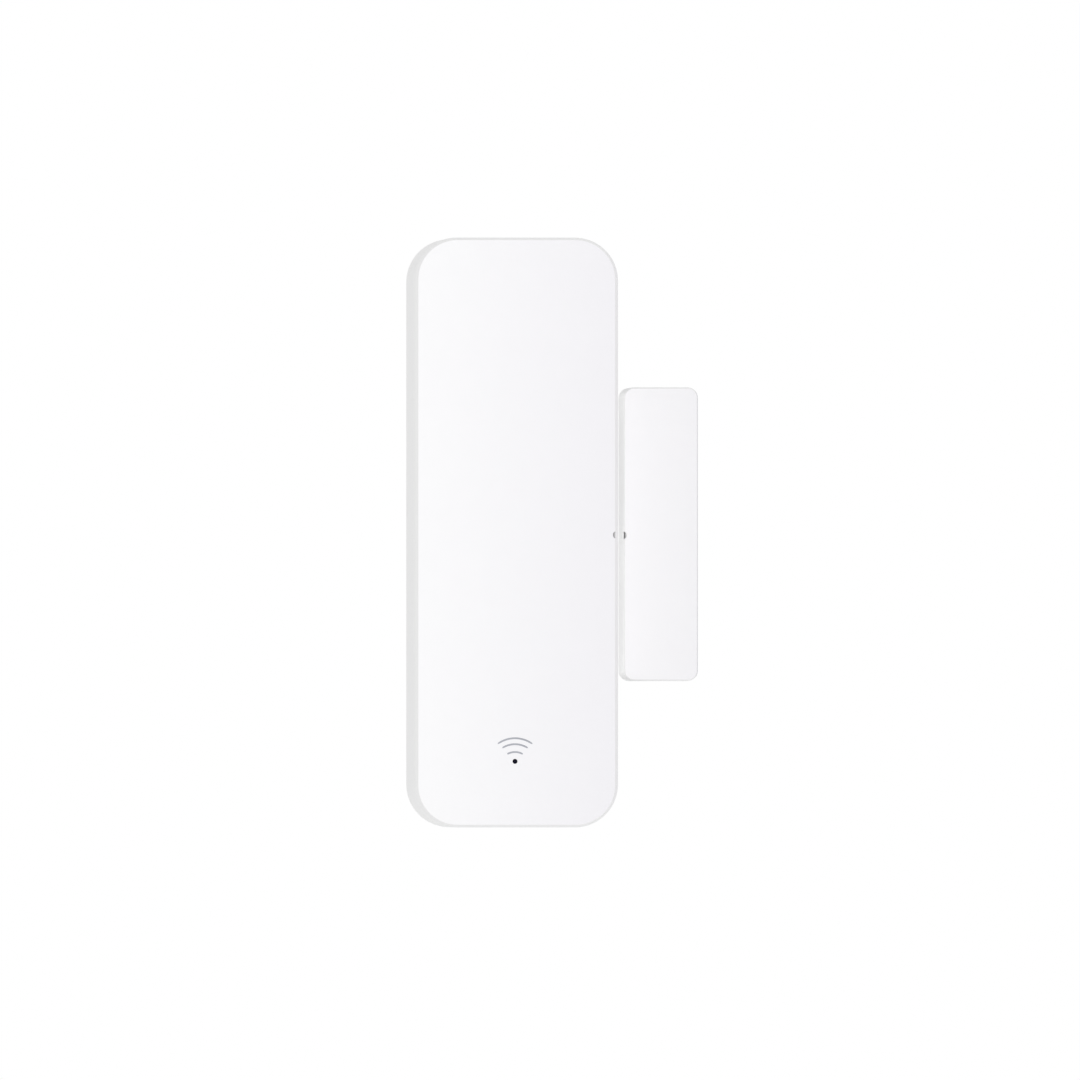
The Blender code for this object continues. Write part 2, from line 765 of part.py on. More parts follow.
def make_circuit_board(mover):
    shape = bmesh.new()
    outline = rounded_rectangle(BOARD_WIDTH, BOARD_HEIGHT, BOARD_CORNER)
    add_prism(shape, outline, BOARD_BACK, BOARD_FRONT)
    board = make_part("circuit_board", shape, BOARD_GREEN, mover)
    ends = (BOARD_BACK - CUT_EXTRA, BOARD_FRONT + CUT_EXTRA)
    holes = bmesh.new()
    for side in (-1, 1):
        add_rod(holes, (side * SCREW_X, SCREW_Z), HOLE_RADIUS, *ends, SMALL_STEPS)
        middle = side * CELL_X
        edges = (middle - TAIL_WIDTH / 2 - FIT, middle + TAIL_WIDTH / 2 + FIT)
        add_box(holes, *edges, CHAMBER_BOTTOM, CHAMBER_BOTTOM + 3 * FIT, *ends)
        edges = (REED_X - BLADE_WIDTH / 2 - FIT, REED_X + BLADE_WIDTH / 2 + FIT)
        lead = side * (LEAD_REACH - BLADE_THICKNESS / 2)
        add_box(holes, *edges, lead - LEAD_SLOT / 2, lead + LEAD_SLOT / 2, *ends)
    for height in PEG_HEIGHTS:
        add_rod(holes, (0, height), HOLE_RADIUS, *ends, SMALL_STEPS)
    cut(board, holes, "holes")


def make_board_screw(name, x, mover):
    head_front = BOARD_BACK - REST_GAP
    edge_across, edge_depth = SCREW_HEAD_EDGE
    profile = [
        (0, SCREW_HEAD_BACK),
        (SCREW_HEAD_RADIUS - edge_across, SCREW_HEAD_BACK),
        (SCREW_HEAD_RADIUS, SCREW_HEAD_BACK + edge_depth),
        (SCREW_HEAD_RADIUS, head_front),
        (SCREW_SHANK_RADIUS, head_front),
        (SCREW_SHANK_RADIUS, SCREW_TIP - SCREW_POINT_LENGTH),
        (SCREW_POINT_RADIUS, SCREW_TIP),
        (0, SCREW_TIP),
    ]
    shape = bmesh.new()
    add_turned(shape, profile, facing_front(x, SCREW_Z), SMALL_STEPS)
    screw = make_part(name, shape, STEEL, mover)
    recess = bmesh.new()
    outline = [(x + across, SCREW_Z + up) for across, up in cross(RECESS_ARM, RECESS_SLOT)]
    add_prism(recess, outline, SCREW_HEAD_BACK - CUT_EXTRA, SCREW_HEAD_BACK + RECESS_DEPTH)
    cut(screw, recess, "cross_recess")


def make_radio(mover):
    back = PART_BACK
    front = back + RADIO_THICKNESS
    shape = bmesh.new()
    add_box(shape, -RADIO_WIDTH / 2, RADIO_WIDTH / 2, RADIO_BOTTOM, RADIO_TOP, back, front)
    board = make_part("radio_board", shape, RADIO_BLUE, mover)
    pads = bmesh.new()
    pad_ends = (back - CUT_EXTRA, front + CUT_EXTRA)
    first_pad = RADIO_BOTTOM + RADIO_PAD_START
    for side in (-1, 1):
        for index in range(RADIO_PADS):
            centre = (side * RADIO_WIDTH / 2, first_pad + index * RADIO_PAD_PITCH)
            add_rod(pads, centre, RADIO_PAD_RADIUS, *pad_ends, PAD_STEPS)
    cut(board, pads, "edge_pads")
    middle = (0, RADIO_BOTTOM + SHIELD_RISE + SHIELD_SIDE / 2)
    can_back = front + REST_GAP
    shape = bmesh.new()
    outline = rounded_rectangle(SHIELD_SIDE, SHIELD_SIDE, SHIELD_CORNER, middle)
    add_prism(shape, outline, can_back, SHIELD_FRONT)
    bevel_rim(shape, SHIELD_FRONT, SHIELD_EDGE)
    shield = make_part("radio_shield", shape, NICKEL, mover)
    inner = SHIELD_SIDE - 2 * SHIELD_WALL
    hollow = bmesh.new()
    outline = rounded_rectangle(inner, inner, SHIELD_CORNER - SHIELD_WALL, middle)
    add_prism(hollow, outline, can_back - CUT_EXTRA, SHIELD_FRONT - SHIELD_WALL)
    cut(shield, hollow, "hollow")


def make_reed_glass(mover):
    half = GLASS_LENGTH / 2
    bore_end = half - GLASS_SEAL
    end_inset, end_drop, end_length = GLASS_END
    outer = [
        (LEAD_HOLE, half),
        (GLASS_RADIUS - end_inset, half - end_drop),
        (GLASS_RADIUS, half - end_length),
        (GLASS_RADIUS, end_length - half),
        (GLASS_RADIUS - end_inset, end_drop - half),
        (LEAD_HOLE, -half),
    ]
    inner = [
        (LEAD_HOLE, -bore_end),
        (GLASS_BORE, GLASS_BORE_END - bore_end),
        (GLASS_BORE, bore_end - GLASS_BORE_END),
        (LEAD_HOLE, bore_end),
    ]
    shape = bmesh.new()
    add_turned(shape, outer + inner, upright(REED_X, REED_DEPTH, 0), GLASS_STEPS, closed=True)
    make_part("reed_glass", shape, CLEAR_GLASS, mover)


def make_reed_blade(name, side, blade_back, mover):
    """Flat blade with a bent lead. It runs from its end (side +1 is the top) past the middle."""
    blade_front = blade_back + BLADE_THICKNESS
    outline = [
        (-side * BLADE_OVERLAP, blade_back),
        (side * (LEAD_REACH - BLADE_THICKNESS), blade_back),
        (side * (LEAD_REACH - BLADE_THICKNESS), LEAD_TIP),
        (side * LEAD_REACH, LEAD_TIP),
        (side * LEAD_REACH, blade_front),
        (-side * BLADE_OVERLAP, blade_front),
    ]
    shape = bmesh.new()
    left = (REED_X - BLADE_WIDTH / 2) * MM
    base = shape.faces.new([shape.verts.new((left, -depth * MM, z * MM)) for z, depth in outline])
    grown = bmesh.ops.extrude_face_region(shape, geom=[base])["geom"]
    moved = [item for item in grown if isinstance(item, bmesh.types.BMVert)]
    bmesh.ops.translate(shape, verts=moved, vec=(BLADE_WIDTH * MM, 0, 0))
    make_part(name, shape, NICKEL, mover)


def make_reed_blades(mover, blade_mover):
    half_gap = BLADE_GAP / 2
    make_reed_blade("reed_fixed_blade", 1, REED_DEPTH + half_gap, mover)
    make_reed_blade(
        "reed_moving_blade", -1, REED_DEPTH - half_gap - BLADE_THICKNESS, blade_mover
    )


def make_chip(name, place, size, finish, mover):
    """Small boxy part on the front of the board; size is width, height and depth."""
    x, z = place
    width, height, depth = size
    shape = bmesh.new()
    outline = rectangle(x - width / 2, x + width / 2, z - height / 2, z + height / 2)
    add_prism(shape, outline, PART_BACK, PART_BACK + depth)
    bevel_rim(shape, PART_BACK + depth, CHIP_EDGE)
    return make_part(name, shape, finish, mover)


def make_regulator(mover):
    """Moulded package with two legs on its left and one on its right."""
    regulator = make_chip("voltage_regulator", REGULATOR_PLACE, REGULATOR_SIZE, BLACK_PLASTIC, mover)
    legs = bmesh.new()
    leg_width, leg_height, leg_depth = LEG_SIZE
    leg_back = PART_BACK + NUDGE
    for across, up in LEG_PLACES:
        x = REGULATOR_PLACE[0] + across
        z = REGULATOR_PLACE[1] + up
        edges = (x - leg_width / 2, x + leg_width / 2)
        ends = (z - leg_height / 2, z + leg_height / 2)
        add_box(legs, *edges, *ends, leg_back, leg_back + leg_depth)
    join(regulator, legs, "legs")


def make_inductor(mover):
    inductor = make_chip("power_inductor", INDUCTOR_PLACE, INDUCTOR_SIZE, FERRITE, mover)
    well = bmesh.new()
    front = PART_BACK + INDUCTOR_SIZE[2]
    ends = (front - INDUCTOR_WELL_DEPTH, front + CUT_EXTRA)
    add_rod(well, INDUCTOR_PLACE, INDUCTOR_WELL_RADIUS, *ends, SMALL_STEPS)
    cut(inductor, well, "well")


def make_board_parts(mover):
    make_chip("status_led", (LIGHT_X, LIGHT_Z), LED_SIZE, LED_RESIN, mover)
    make_chip("tantalum_capacitor", TANTALUM_PLACE, TANTALUM_SIZE, TANTALUM, mover)
    for index, place in enumerate(RESISTOR_PLACES, 1):
        make_chip(f"chip_resistor_{index}", place, RESISTOR_SIZE, BLACK_PLASTIC, mover)
    for index, place in enumerate(CERAMIC_PLACES, 1):
        make_chip(f"chip_capacitor_{index}", place, CERAMIC_SIZE, CERAMIC, mover)
    make_regulator(mover)
    make_inductor(mover)


def make_light_pipe(mover):
    tip = SENSOR_DEPTH - PIPE_SINK
    dome_inset, dome_height = PIPE_DOME
    profile = [
        (0, PIPE_FLANGE_BACK),
        (PIPE_FLANGE_RADIUS, PIPE_FLANGE_BACK),
        (PIPE_FLANGE_RADIUS, PIPE_FLANGE_FRONT - PIPE_FLANGE_EDGE),
        (PIPE_FLANGE_RADIUS - PIPE_FLANGE_EDGE, PIPE_FLANGE_FRONT),
        (PIPE_RADIUS, PIPE_FLANGE_FRONT),
        (PIPE_RADIUS, tip - dome_height),
        (PIPE_RADIUS - dome_inset, tip - dome_height / 3),
        (0, tip),
    ]
    shape = bmesh.new()
    add_turned(shape, profile, facing_front(LIGHT_X, LIGHT_Z))
    make_part("light_pipe", shape, DARK_RESIN, mover)


def make_bulk_capacitor(mover):
    front = BOARD_BACK - REST_GAP
    can_front = front - CAPACITOR_BASE + OVERLAP
    groove_radius = CAPACITOR_RADIUS - CAPACITOR_GROOVE
    groove_start, groove_end = CAPACITOR_GROOVE_ENDS
    slope = CAPACITOR_GROOVE_SLOPE
    shape = bmesh.new()
    profile = [
        (0, CAPACITOR_BACK),
        (CAPACITOR_RADIUS - CAPACITOR_EDGE, CAPACITOR_BACK),
        (CAPACITOR_RADIUS, CAPACITOR_BACK + CAPACITOR_EDGE),
        (CAPACITOR_RADIUS, front - groove_start),
        (groove_radius, front - groove_start + slope),
        (groove_radius, front - groove_end - slope),
        (CAPACITOR_RADIUS, front - groove_end),
        (CAPACITOR_RADIUS, can_front),
        (0, can_front),
    ]
    add_turned(shape, profile, facing_front(CAPACITOR_X, CAPACITOR_Z))
    can = make_part("bulk_capacitor", shape, ALUMINIUM, mover)
    base = bmesh.new()
    side = CAPACITOR_RADIUS + CAPACITOR_BASE_MARGIN
    cut_side = CAPACITOR_BASE_CUT
    corners = ((1, 1), (-cut_side, 1), (-1, cut_side), (-1, -cut_side), (-cut_side, -1), (1, -1))
    outline = [(CAPACITOR_X + x * side, CAPACITOR_Z + z * side) for x, z in corners]
    add_prism(base, outline, front - CAPACITOR_BASE, front)
    join(can, base, "base")


def make_switch(mover, plunger_mover):
    front = BOARD_BACK - REST_GAP
    half = SWITCH_SIDE / 2
    shape = bmesh.new()
    left = SWITCH_X - half
    right = SWITCH_X + half
    add_box(shape, left, right, SWITCH_Z - half, SWITCH_Z + half, SWITCH_BACK, front)
    body = make_part("switch_body", shape, BLACK_PLASTIC, mover)
    well = bmesh.new()
    centre = (SWITCH_X, SWITCH_Z)
    add_rod(well, centre, SWITCH_WELL_RADIUS, SWITCH_BACK - CUT_EXTRA, SWITCH_WELL_FRONT)
    cut(body, well, "well")
    shape = bmesh.new()
    rim = SWITCH_WELL_FRONT - DOME_LIFT
    bend = rim - DOME_RISE * DOME_BEND_SHARE
    dome = [
        (0, rim - DOME_RISE),
        (DOME_BEND_RADIUS, bend),
        (DOME_RADIUS, rim),
        (DOME_RADIUS, rim - DOME_THICKNESS),
        (DOME_BEND_RADIUS, bend - DOME_THICKNESS),
        (0, rim - DOME_RISE - DOME_THICKNESS),
    ]
    add_turned(shape, dome, facing_front(*centre))
    make_part("switch_dome", shape, STEEL, mover)
    shape = bmesh.new()
    profile = [
        (0, PLUNGER_BACK),
        (PLUNGER_RADIUS - PLUNGER_EDGE, PLUNGER_BACK),
        (PLUNGER_RADIUS, PLUNGER_BACK + PLUNGER_EDGE),
        (PLUNGER_RADIUS, PLUNGER_FRONT),
        (0, PLUNGER_FRONT),
    ]
    add_turned(shape, profile, facing_front(*centre))
    make_part("switch_plunger", shape, GREY_PLASTIC, plunger_mover)


# Magnet unit


def make_magnet_unit(door_mover, case_mover):
    centre = (MAGNET_X, MAGNET_Z)
    size = (MAGNET_WIDTH, MAGNET_HEIGHT)
    make_tape("magnet_tape", centre, MAGNET_TAPE, FOAM, door_mover)
    corner = (MAGNET_CORNER, MAGNET_PLATE_EDGE)
    plate = make_plate("magnet_back_plate", centre, size, *corner, MAGNET_PLATE_FRONT, door_mover)
    inset = 2 * (MAGNET_WALL + FIT)
    lip_size = (MAGNET_WIDTH - inset, MAGNET_HEIGHT - inset)
    lip = (MAGNET_LIP_WALL, MAGNET_PLATE_FRONT, MAGNET_LIP_FRONT)
    add_lip(plate, centre, lip_size, MAGNET_LIP_WALL, *lip)
    taper = (MAGNET_TAPER, MAGNET_TAPER_DEPTH)
    wall = (MAGNET_WALL, MAGNET_WALL)
    depths = (MAGNET_PLATE_FRONT + SEAM, MAGNET_DEPTH)
    cover = make_shell("magnet_cover", centre, size, MAGNET_CORNER, taper, wall, depths, case_mover)
    ribs = bmesh.new()
    reach = MAGNET_WIDTH / 2 - MAGNET_WALL + OVERLAP
    edges = (MAGNET_X - reach, MAGNET_X + reach)
    rib_front = MAGNET_DEPTH - MAGNET_WALL + OVERLAP
    rib_start = BAR_HEIGHT / 2 + FIT
    for side in (-1, 1):
        heights = (MAGNET_Z + side * rib_start, MAGNET_Z + side * (rib_start + RIB_WALL))
        add_box(ribs, *edges, *sorted(heights), RIB_BACK, rib_front)
    join(cover, ribs, "ribs")
    flat_x = MAGNET_X - MAGNET_WIDTH / 2 + MAGNET_TAPER[0] + POCKET_RIM
    cut_pocket(cover, flat_x, 1, MAGNET_DEPTH)
    make_magnet(centre, case_mover)


def make_magnet(centre, mover):
    """Bar magnet, and the foam that presses it towards the back plate."""
    shape = bmesh.new()
    outline = rounded_rectangle(BAR_WIDTH, BAR_HEIGHT, BAR_CORNER, centre)
    add_prism(shape, outline, BAR_BACK, BAR_FRONT)
    make_part("magnet_bar", shape, NICKEL, mover)
    shape = bmesh.new()
    foam_size = (BAR_WIDTH - 2 * FOAM_MARGIN, BAR_HEIGHT - 2 * FOAM_END_MARGIN)
    outline = rounded_rectangle(*foam_size, FOAM_CORNER, centre)
    add_prism(shape, outline, BAR_FRONT + REST_GAP, FOAM_FRONT)
    make_part("magnet_foam", shape, DARK_FOAM, mover)


def build():
    clear_scene()
    housing = make_mover("housing_pull_off", (0, 0, 0))
    door = make_mover("door_travel", (MAGNET_X, 0, MAGNET_Z))
    case = make_mover("magnet_cover_pull_off", (MAGNET_X, 0, MAGNET_Z), door)
    blade_depth = REED_DEPTH - BLADE_GAP / 2 - BLADE_THICKNESS / 2
    blade = make_mover("reed_flex", (REED_X, -blade_depth, REED_PIVOT_Z), housing)
    plunger = make_mover("button_press", (SWITCH_X, 0, SWITCH_Z), housing)

    make_tape("base_tape", (0, 0), BASE_TAPE, FOAM)
    make_back_plate()
    make_front_cover(housing)
    make_battery_holder(housing)
    make_battery("battery_left", -CELL_X, LEFT_CELL_TIP - CELL_LENGTH, False, housing)
    make_battery("battery_right", CELL_X, RIGHT_CELL_TIP + CELL_LENGTH, True, housing)
    make_contacts(housing)
    make_circuit_board(housing)
    make_board_screw("board_screw_left", -SCREW_X, housing)
    make_board_screw("board_screw_right", SCREW_X, housing)
    make_radio(housing)
    make_reed_glass(housing)
    make_reed_blades(housing, blade)
    make_board_parts(housing)
    make_light_pipe(housing)
    make_bulk_capacitor(housing)
    make_switch(housing, plunger)
    make_magnet_unit(door, case)
    keep_flats_flat()


build()
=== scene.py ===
"""Looks of the door contact sensor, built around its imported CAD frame.

Axes are the frame's: +X is right, +Z is up and the front faces -Y. Lengths are in millimetres, and MM
turns them into metres when a mesh is made. A depth is a distance in front of the wall, so a point at
depth d has y = -d.
"""

import json
import math

import bmesh
import bpy
from mathutils import Matrix, Vector, geometry, noise

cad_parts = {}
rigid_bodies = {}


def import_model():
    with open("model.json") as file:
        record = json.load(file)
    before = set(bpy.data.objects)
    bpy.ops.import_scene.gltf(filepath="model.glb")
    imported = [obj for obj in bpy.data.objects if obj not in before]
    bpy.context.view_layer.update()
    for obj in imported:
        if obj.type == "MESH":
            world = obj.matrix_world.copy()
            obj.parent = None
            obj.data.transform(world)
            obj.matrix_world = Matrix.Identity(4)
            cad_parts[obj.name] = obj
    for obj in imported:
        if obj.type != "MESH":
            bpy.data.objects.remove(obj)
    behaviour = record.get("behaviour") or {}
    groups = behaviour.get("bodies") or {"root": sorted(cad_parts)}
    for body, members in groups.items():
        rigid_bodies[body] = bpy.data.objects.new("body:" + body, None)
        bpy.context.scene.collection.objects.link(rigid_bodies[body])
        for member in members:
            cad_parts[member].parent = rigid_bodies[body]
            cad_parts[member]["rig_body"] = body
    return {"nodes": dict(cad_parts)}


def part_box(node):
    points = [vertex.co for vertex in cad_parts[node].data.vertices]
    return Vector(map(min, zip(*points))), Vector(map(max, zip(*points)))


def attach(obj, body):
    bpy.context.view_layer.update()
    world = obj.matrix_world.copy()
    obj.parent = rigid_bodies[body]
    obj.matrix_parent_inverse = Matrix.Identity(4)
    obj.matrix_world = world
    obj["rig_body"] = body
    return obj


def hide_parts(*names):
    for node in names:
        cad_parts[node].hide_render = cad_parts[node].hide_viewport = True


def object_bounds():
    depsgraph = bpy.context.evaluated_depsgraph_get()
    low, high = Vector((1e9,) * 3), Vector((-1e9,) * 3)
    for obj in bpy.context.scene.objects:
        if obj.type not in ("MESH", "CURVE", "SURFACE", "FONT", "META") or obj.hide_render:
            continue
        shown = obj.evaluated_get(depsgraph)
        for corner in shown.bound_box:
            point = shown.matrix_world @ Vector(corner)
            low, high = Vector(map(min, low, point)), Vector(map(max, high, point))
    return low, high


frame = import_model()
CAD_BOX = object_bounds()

MM = 0.001
SHARP_ANGLE = math.radians(35)
FLAT_ANGLE = math.radians(0.5)
EDGE_ANGLE = math.radians(50)
FLAT_WEIGHT = 100
MERGE = 0.001
CUT_EXTRA = 1.0
QUARTERS = ((-1, -1), (-1, 1), (1, -1), (1, 1))

# Steps of round stretches
CORNER_STEPS = 24
ROUND_STEPS = 64
SMALL_STEPS = 32
BEND_STEPS = 6
PAD_STEPS = 24
EDGE_PAD_STEPS = 10

# Casing: a taper is how far the sides and the ends lean in near the face
SENSOR_CORNER = 5.2
SENSOR_TAPER = (0.43, 0.3)
SENSOR_TAPER_DEPTH = 1.2
SENSOR_WALL = 1.3
FRONT_WALL = 1.5
MAGNET_CORNER = 1.25
MAGNET_TAPER = (0.14, 0.14)
MAGNET_TAPER_DEPTH = 0.5
MAGNET_WALL = 1.0
STRETCH = 1.0
INNER_BEND = 0.35
RIM_BEND = 0.12
LEAN_BEND = 0.3
FACE_BEND = 0.07
POCKET_SIZE = (0.33, 0.42)
POCKET_DEPTH = 0.7
MAGNET_POCKET_DEPTH = 1.1
POCKET_LEAST_DEPTH = 0.02
POCKET_BELOW_MIDDLE = 0.15
POCKET_OPEN = 0.07
MAGNET_POCKET_OPEN = 0.1

# Sockets of a mix node that mixes colours
MIX_AMOUNT, MIX_FIRST, MIX_SECOND, MIX_RESULT = 0, 6, 7, 2

# Finishes
WALL_WHITE = (0.845, 0.845, 0.845)
PLATE_WHITE = (0.86, 0.86, 0.86)

# Right walls: how far behind the face their painted shade starts to fade, and where it ends
PAINTED_SHADE_FROM = 0.6
PAINTED_SHADE_TO = 6.0

# Inside the covers: screw bosses, the light pipe's collar, the hook and the magnet's ribs
OVERLAP = 0.3
RIB_OVERLAP = 0.2
BOSS_RADII = (1.05, 2.2)
BOSS_BACK = 15.5
BOSS_RIB_REACH = 2.4
BOSS_RIB_HALF = (0.5, 0.25)
BOSS_RIB_BACK = 16.4
COLLAR_RADII = (1.6, 2.2)
COLLAR_BACK = 16.9
HOOK_HALF_WIDTH = 3
HOOK_BOTTOM = 33.1
HOOK_DEPTHS = (12.9, 13.9)
BAR_RIB_GAP = 0.3
BAR_RIB_WALL = 0.8
BAR_RIB_BACK = 5.0

# Back plates: corner, rear edge, front depth, and the inset, thickness and corner of the low wall
PLATE_FRONT = 2.2
SENSOR_PLATE = (SENSOR_CORNER, 0.35, PLATE_FRONT, (1.6, 0.8, 3.6))
MAGNET_PLATE = (MAGNET_CORNER, 0.15, 1.9, (1.3, 0.6, 0.6))
REAR_STRETCH = 0.3
FRONT_STRETCH = 0.4
PLATE_BEND = 0.08
PLATE_OVERLAP = 0.2
LIP_BEND = 0.1
LEAST_LIP_CORNER = 0.3
NOTCH_HALF_WIDTH = 4
NOTCH_REACH = 0.7
NOTCH_BACK = 1.6
SINK_MARK_RADIUS = 1.1
SINK_MARK_DEPTH = 0.15
SINK_MARK_INSET = 2.75
SINK_MARK_PLACES = (-6, 0, 6)
SNAP_Z = 20
SNAP_HALF_LENGTH = 3
SNAP_REACH = (2.0, 1.45)
SNAP_DEPTHS = (3.0, 3.6)
RING_PLACE = (7, 28)
RING_RADII = (0.9, 1.3)
RING_FRONT = 2.3
PLATE_RIBS = (-10, 10, -30, 30)
PLATE_RIB_HALF = (9.6, 0.3)
PLATE_RIB_FRONT = 2.4

# Foam tape
FILM = 0.07
TAPE_SPACING = 0.35
FOAM_LEVELS = 6
FOAM_PULL = 0.06
FOAM_MEAN = 0.6
FOAM_WAVES = (2.1, 5.0)

# Printed wireless mark and the window for the indicator
MARK_RADII = (3.55, 2.83, 1.89)
MARK_HALF_ANGLES = (36.1, 32.9, 29.7)
MARK_WIDTH = 0.21
MARK_BELOW_LIGHT = 0.765
MARK_THICKNESS = 0.012
MARK_STEPS = 40
MARK_END_SHARPNESS = 16
MARK_END_LEAST = 0.04
INK_SINK = 0.01
WINDOW_RADIUS = 0.3

# Cells: each side and whether its positive end is down, and the print on the sleeves
CELLS = (("left", False), ("right", True))
CELL_NUB_LENGTH = 0.8
SLEEVE_WALL = 0.07
SLEEVE_RING = (0.68, 0.682)
SLEEVE_BAND = (0.71, 0.712)
SIGN_HALF_ARM = (1.3, 0.28)
SIGN_FROM_END = 5
PATCH_STEPS = 12
PATCH_SINK = 0.02
PATCH_RISE = 0.015

# Board: layers rise from its faces, and places are (x, z)
SCREWS = ("board_screw_left", "board_screw_right")
CHIPS = [f"chip_{kind}_{index}" for kind in ("resistor", "capacitor") for index in (1, 2, 3)]
LAYER_SINK = 0.01
TRACK_RISE = 0.03
PAD_RISE = 0.035
LEGEND_RISE = 0.022
LEGEND_WIDTH = 0.14
FRONT_TRACK = 0.28
BACK_TRACK = 0.3
SCREW_PAD_RADII = (1.15, 2.0)
TEST_PAD_RADII = (0.25, 0.55)
TEST_PAD_PLACES = (-3.4, -1.7, 0, 1.7, 3.4)
TEST_PAD_Z = -31.9
CHIP_PAD = (0.95, 0.6)
CHIP_PAD_Z = 0.85
# (x, z, width, height) of each pair of pads, with the share of the width to a pad's middle and its own
PART_PADS = ((-0.5, 2.5, 5.0, 2.4), (-6.5, 2.5, 5.0, 2.2), (-0.2, -27.6, 2.8, 1.0))
PART_PAD_X = 0.39
PART_PAD_WIDTH = 0.24
SWITCH_PAD = (1.4, 1.1)
SWITCH_PAD_X = 3.5
SWITCH_LEG_Z = 2.25
FRONT_ROUTES = (
    [(-3, -19.1), (-3, -15), (-5.35, -12.6), (-5.35, -9.5), (-7.4, -7.6)],
    [(0, -19.1), (0, -12.5), (2.4, -10), (2.4, -2), (5.2, 1), (5.2, 8.2)],
    [(3, -19.1), (3, -16.5), (8.3, -11.2), (8.7, -9.3)],
    [(-4, -4.6), (-4, -2), (-2.4, 0.5)],
    [(-1, -4.6), (-1, -2.5), (0.9, -0.6), (3.6, 2.2), (3.6, 8.2)],
    [(-0.9, -27.6), (-3, -25.4), (-3, -20.9)],
    [(0.6, -27.6), (3, -25.2), (3, -20.9)],
    [(-9.2, 8.6), (-9.2, 3.2), (-8.6, 2.5)],
    [(8.7, 8.8), (8.7, 10.5), (7.9, 11.5)],
)
BACK_ROUTES = (
    [(1.5, -26.2), (0, -26.2), (-1.2, -25), (-1.2, -17.5), (-5.35, -16.9)],
    [(8.5, -21.8), (9.4, -20.9), (9.4, -9.6), (8.7, -9)],
    [(-3.4, -31.9), (-3.4, -29.5), (-4.5, -28.2)],
    [(0, -31.9), (0, -29.6), (2.2, -27.4), (2.2, -26.3)],
    [(3.4, -31.9), (3.4, -30), (5, -28.4)],
)

# Solder: (share of a joint's radius, rise from the board) up a fillet
SOLDER_FILLET = ((0, -0.02), (1, -0.02), (0.9, 0.06), (0.6, 0.22), (0.4, 0.5), (0.25, 0.7), (0, 0.76))
TAIL_X = 5.35
TAIL_RISE = 0.15
TAIL_JOINT_RADIUS = 0.95
REED_JOINT_Z = 8.7
REED_JOINT_RADIUS = 0.75
TIN_SKIN = 0.025
TIN_SINK = 0.05
CHIP_END = 0.32
PART_END_MARGIN = 0.18
PART_END_HEIGHT = 0.55
PART_END_OUT = 0.12
PART_END_IN = 0.1

# Radio board: edge pads, and the aerial's heights below the top edge
EDGE_PADS = 8
EDGE_PAD_START = 1.2
EDGE_PAD_PITCH = 2.0
EDGE_PAD_RADII = (0.42, 0.7)
AERIAL_WIDTH = 0.45
AERIAL_BELOW_TOP = (5.8, 4.2, 0.9)
AERIAL_LEFT = -5.6
AERIAL_FOLDS_FROM = -3.4
AERIAL_FOLD = 1.1
AERIAL_TURNS = 3
AERIAL_RIGHT = 6.4

# Switch frame: a leg reaches from inner to outer, and its foot from inner to toe
FRAME_STEPS = 48
FRAME_RAY = 10.0
FRAME_INSET = 0.25
FRAME_CORNER = 0.5
FRAME_HOLE_RADIUS = 2.05
FRAME_THICKNESS = 0.12
FRAME_SINK = 0.02
STUD_PLACE = 2.35
STUD_PROFILE = ((0, 0.3), (0.3, 0.3), (0.38, 0.22), (0.38, 0), (0, 0))
LEG_REACH = (2.9, 3.15, 3.9)
LEG_HALF_WIDTH = 0.35
LEG_BACK = 1.6

# Camera and light
LENS = 1400.0
SENSOR_SIZE = 36.0
VIEW_WIDTH = 130.17
VIEW_AIM = (3.26, -12.0, -0.87)
VIEW_AZIMUTH = -3.3
VIEW_ELEVATION = -0.3
FLOOR_DROP = 85.0
FLOOR_SIDE = 6.0
FLOOR_GLOW = 0.07
AMBIENT = 0.86
WHITE = (1.0, 1.0, 1.0, 1.0)
KEY_POWER = 4.5
KEY_SIZE = 0.9
KEY_DISTANCE = 1.6
KEY_ELEVATION = 8.0
GAP_GLOW = 0.25
GAP_GLOW_REACH = 3.5
UPPER_GAP_GLOW = 0.12
LOWER_GAP_GLOW = 0.155
GAP_LIGHT_STEP = 0.05


def box_of(node):
    """(left, right, back, front, bottom, top) of a CAD node in millimetres, back and front as depths."""
    low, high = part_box(node)
    return low.x / MM, high.x / MM, -high.y / MM, -low.y / MM, low.z / MM, high.z / MM


def sides_of(node):
    left, right, _, _, bottom, top = box_of(node)
    return left, right, bottom, top


def middle_of(node):
    left, right, bottom, top = sides_of(node)
    return (left + right) / 2, (bottom + top) / 2


def round_of(node):
    """(x, depth, radius, bottom, top) of an upright round CAD node."""
    left, right, back, front, bottom, top = box_of(node)
    return (left + right) / 2, (back + front) / 2, (right - left) / 2, bottom, top


# Outlines and solids


def corners_of(sides):
    """Corners of a rectangle given by its left, right, bottom and top sides, from the right top one round."""
    left, right, bottom, top = sides
    return [(right, top), (left, top), (left, bottom), (right, bottom)]


def rounded_rectangle(sides, corner, steps=CORNER_STEPS):
    """(x, z) points round a rectangle with its corners rounded."""
    points = []
    for quarter, (x, z) in enumerate(corners_of(inset(sides, corner))):
        for step in range(steps + 1):
            angle = math.radians(90 * (quarter + step / steps))
            points.append((x + corner * math.cos(angle), z + corner * math.sin(angle)))
    return points


def inset(sides, amount):
    left, right, bottom, top = sides
    return left + amount, right - amount, bottom + amount, top - amount


def around(middle, half_width, half_height):
    """Sides of a rectangle round its middle."""
    x, z = middle
    return x - half_width, x + half_width, z - half_height, z + half_height


def circle(centre, radius, steps=SMALL_STEPS):
    x, z = centre
    angles = [math.tau * step / steps for step in range(steps)]
    return [(x + radius * math.cos(angle), z + radius * math.sin(angle)) for angle in angles]


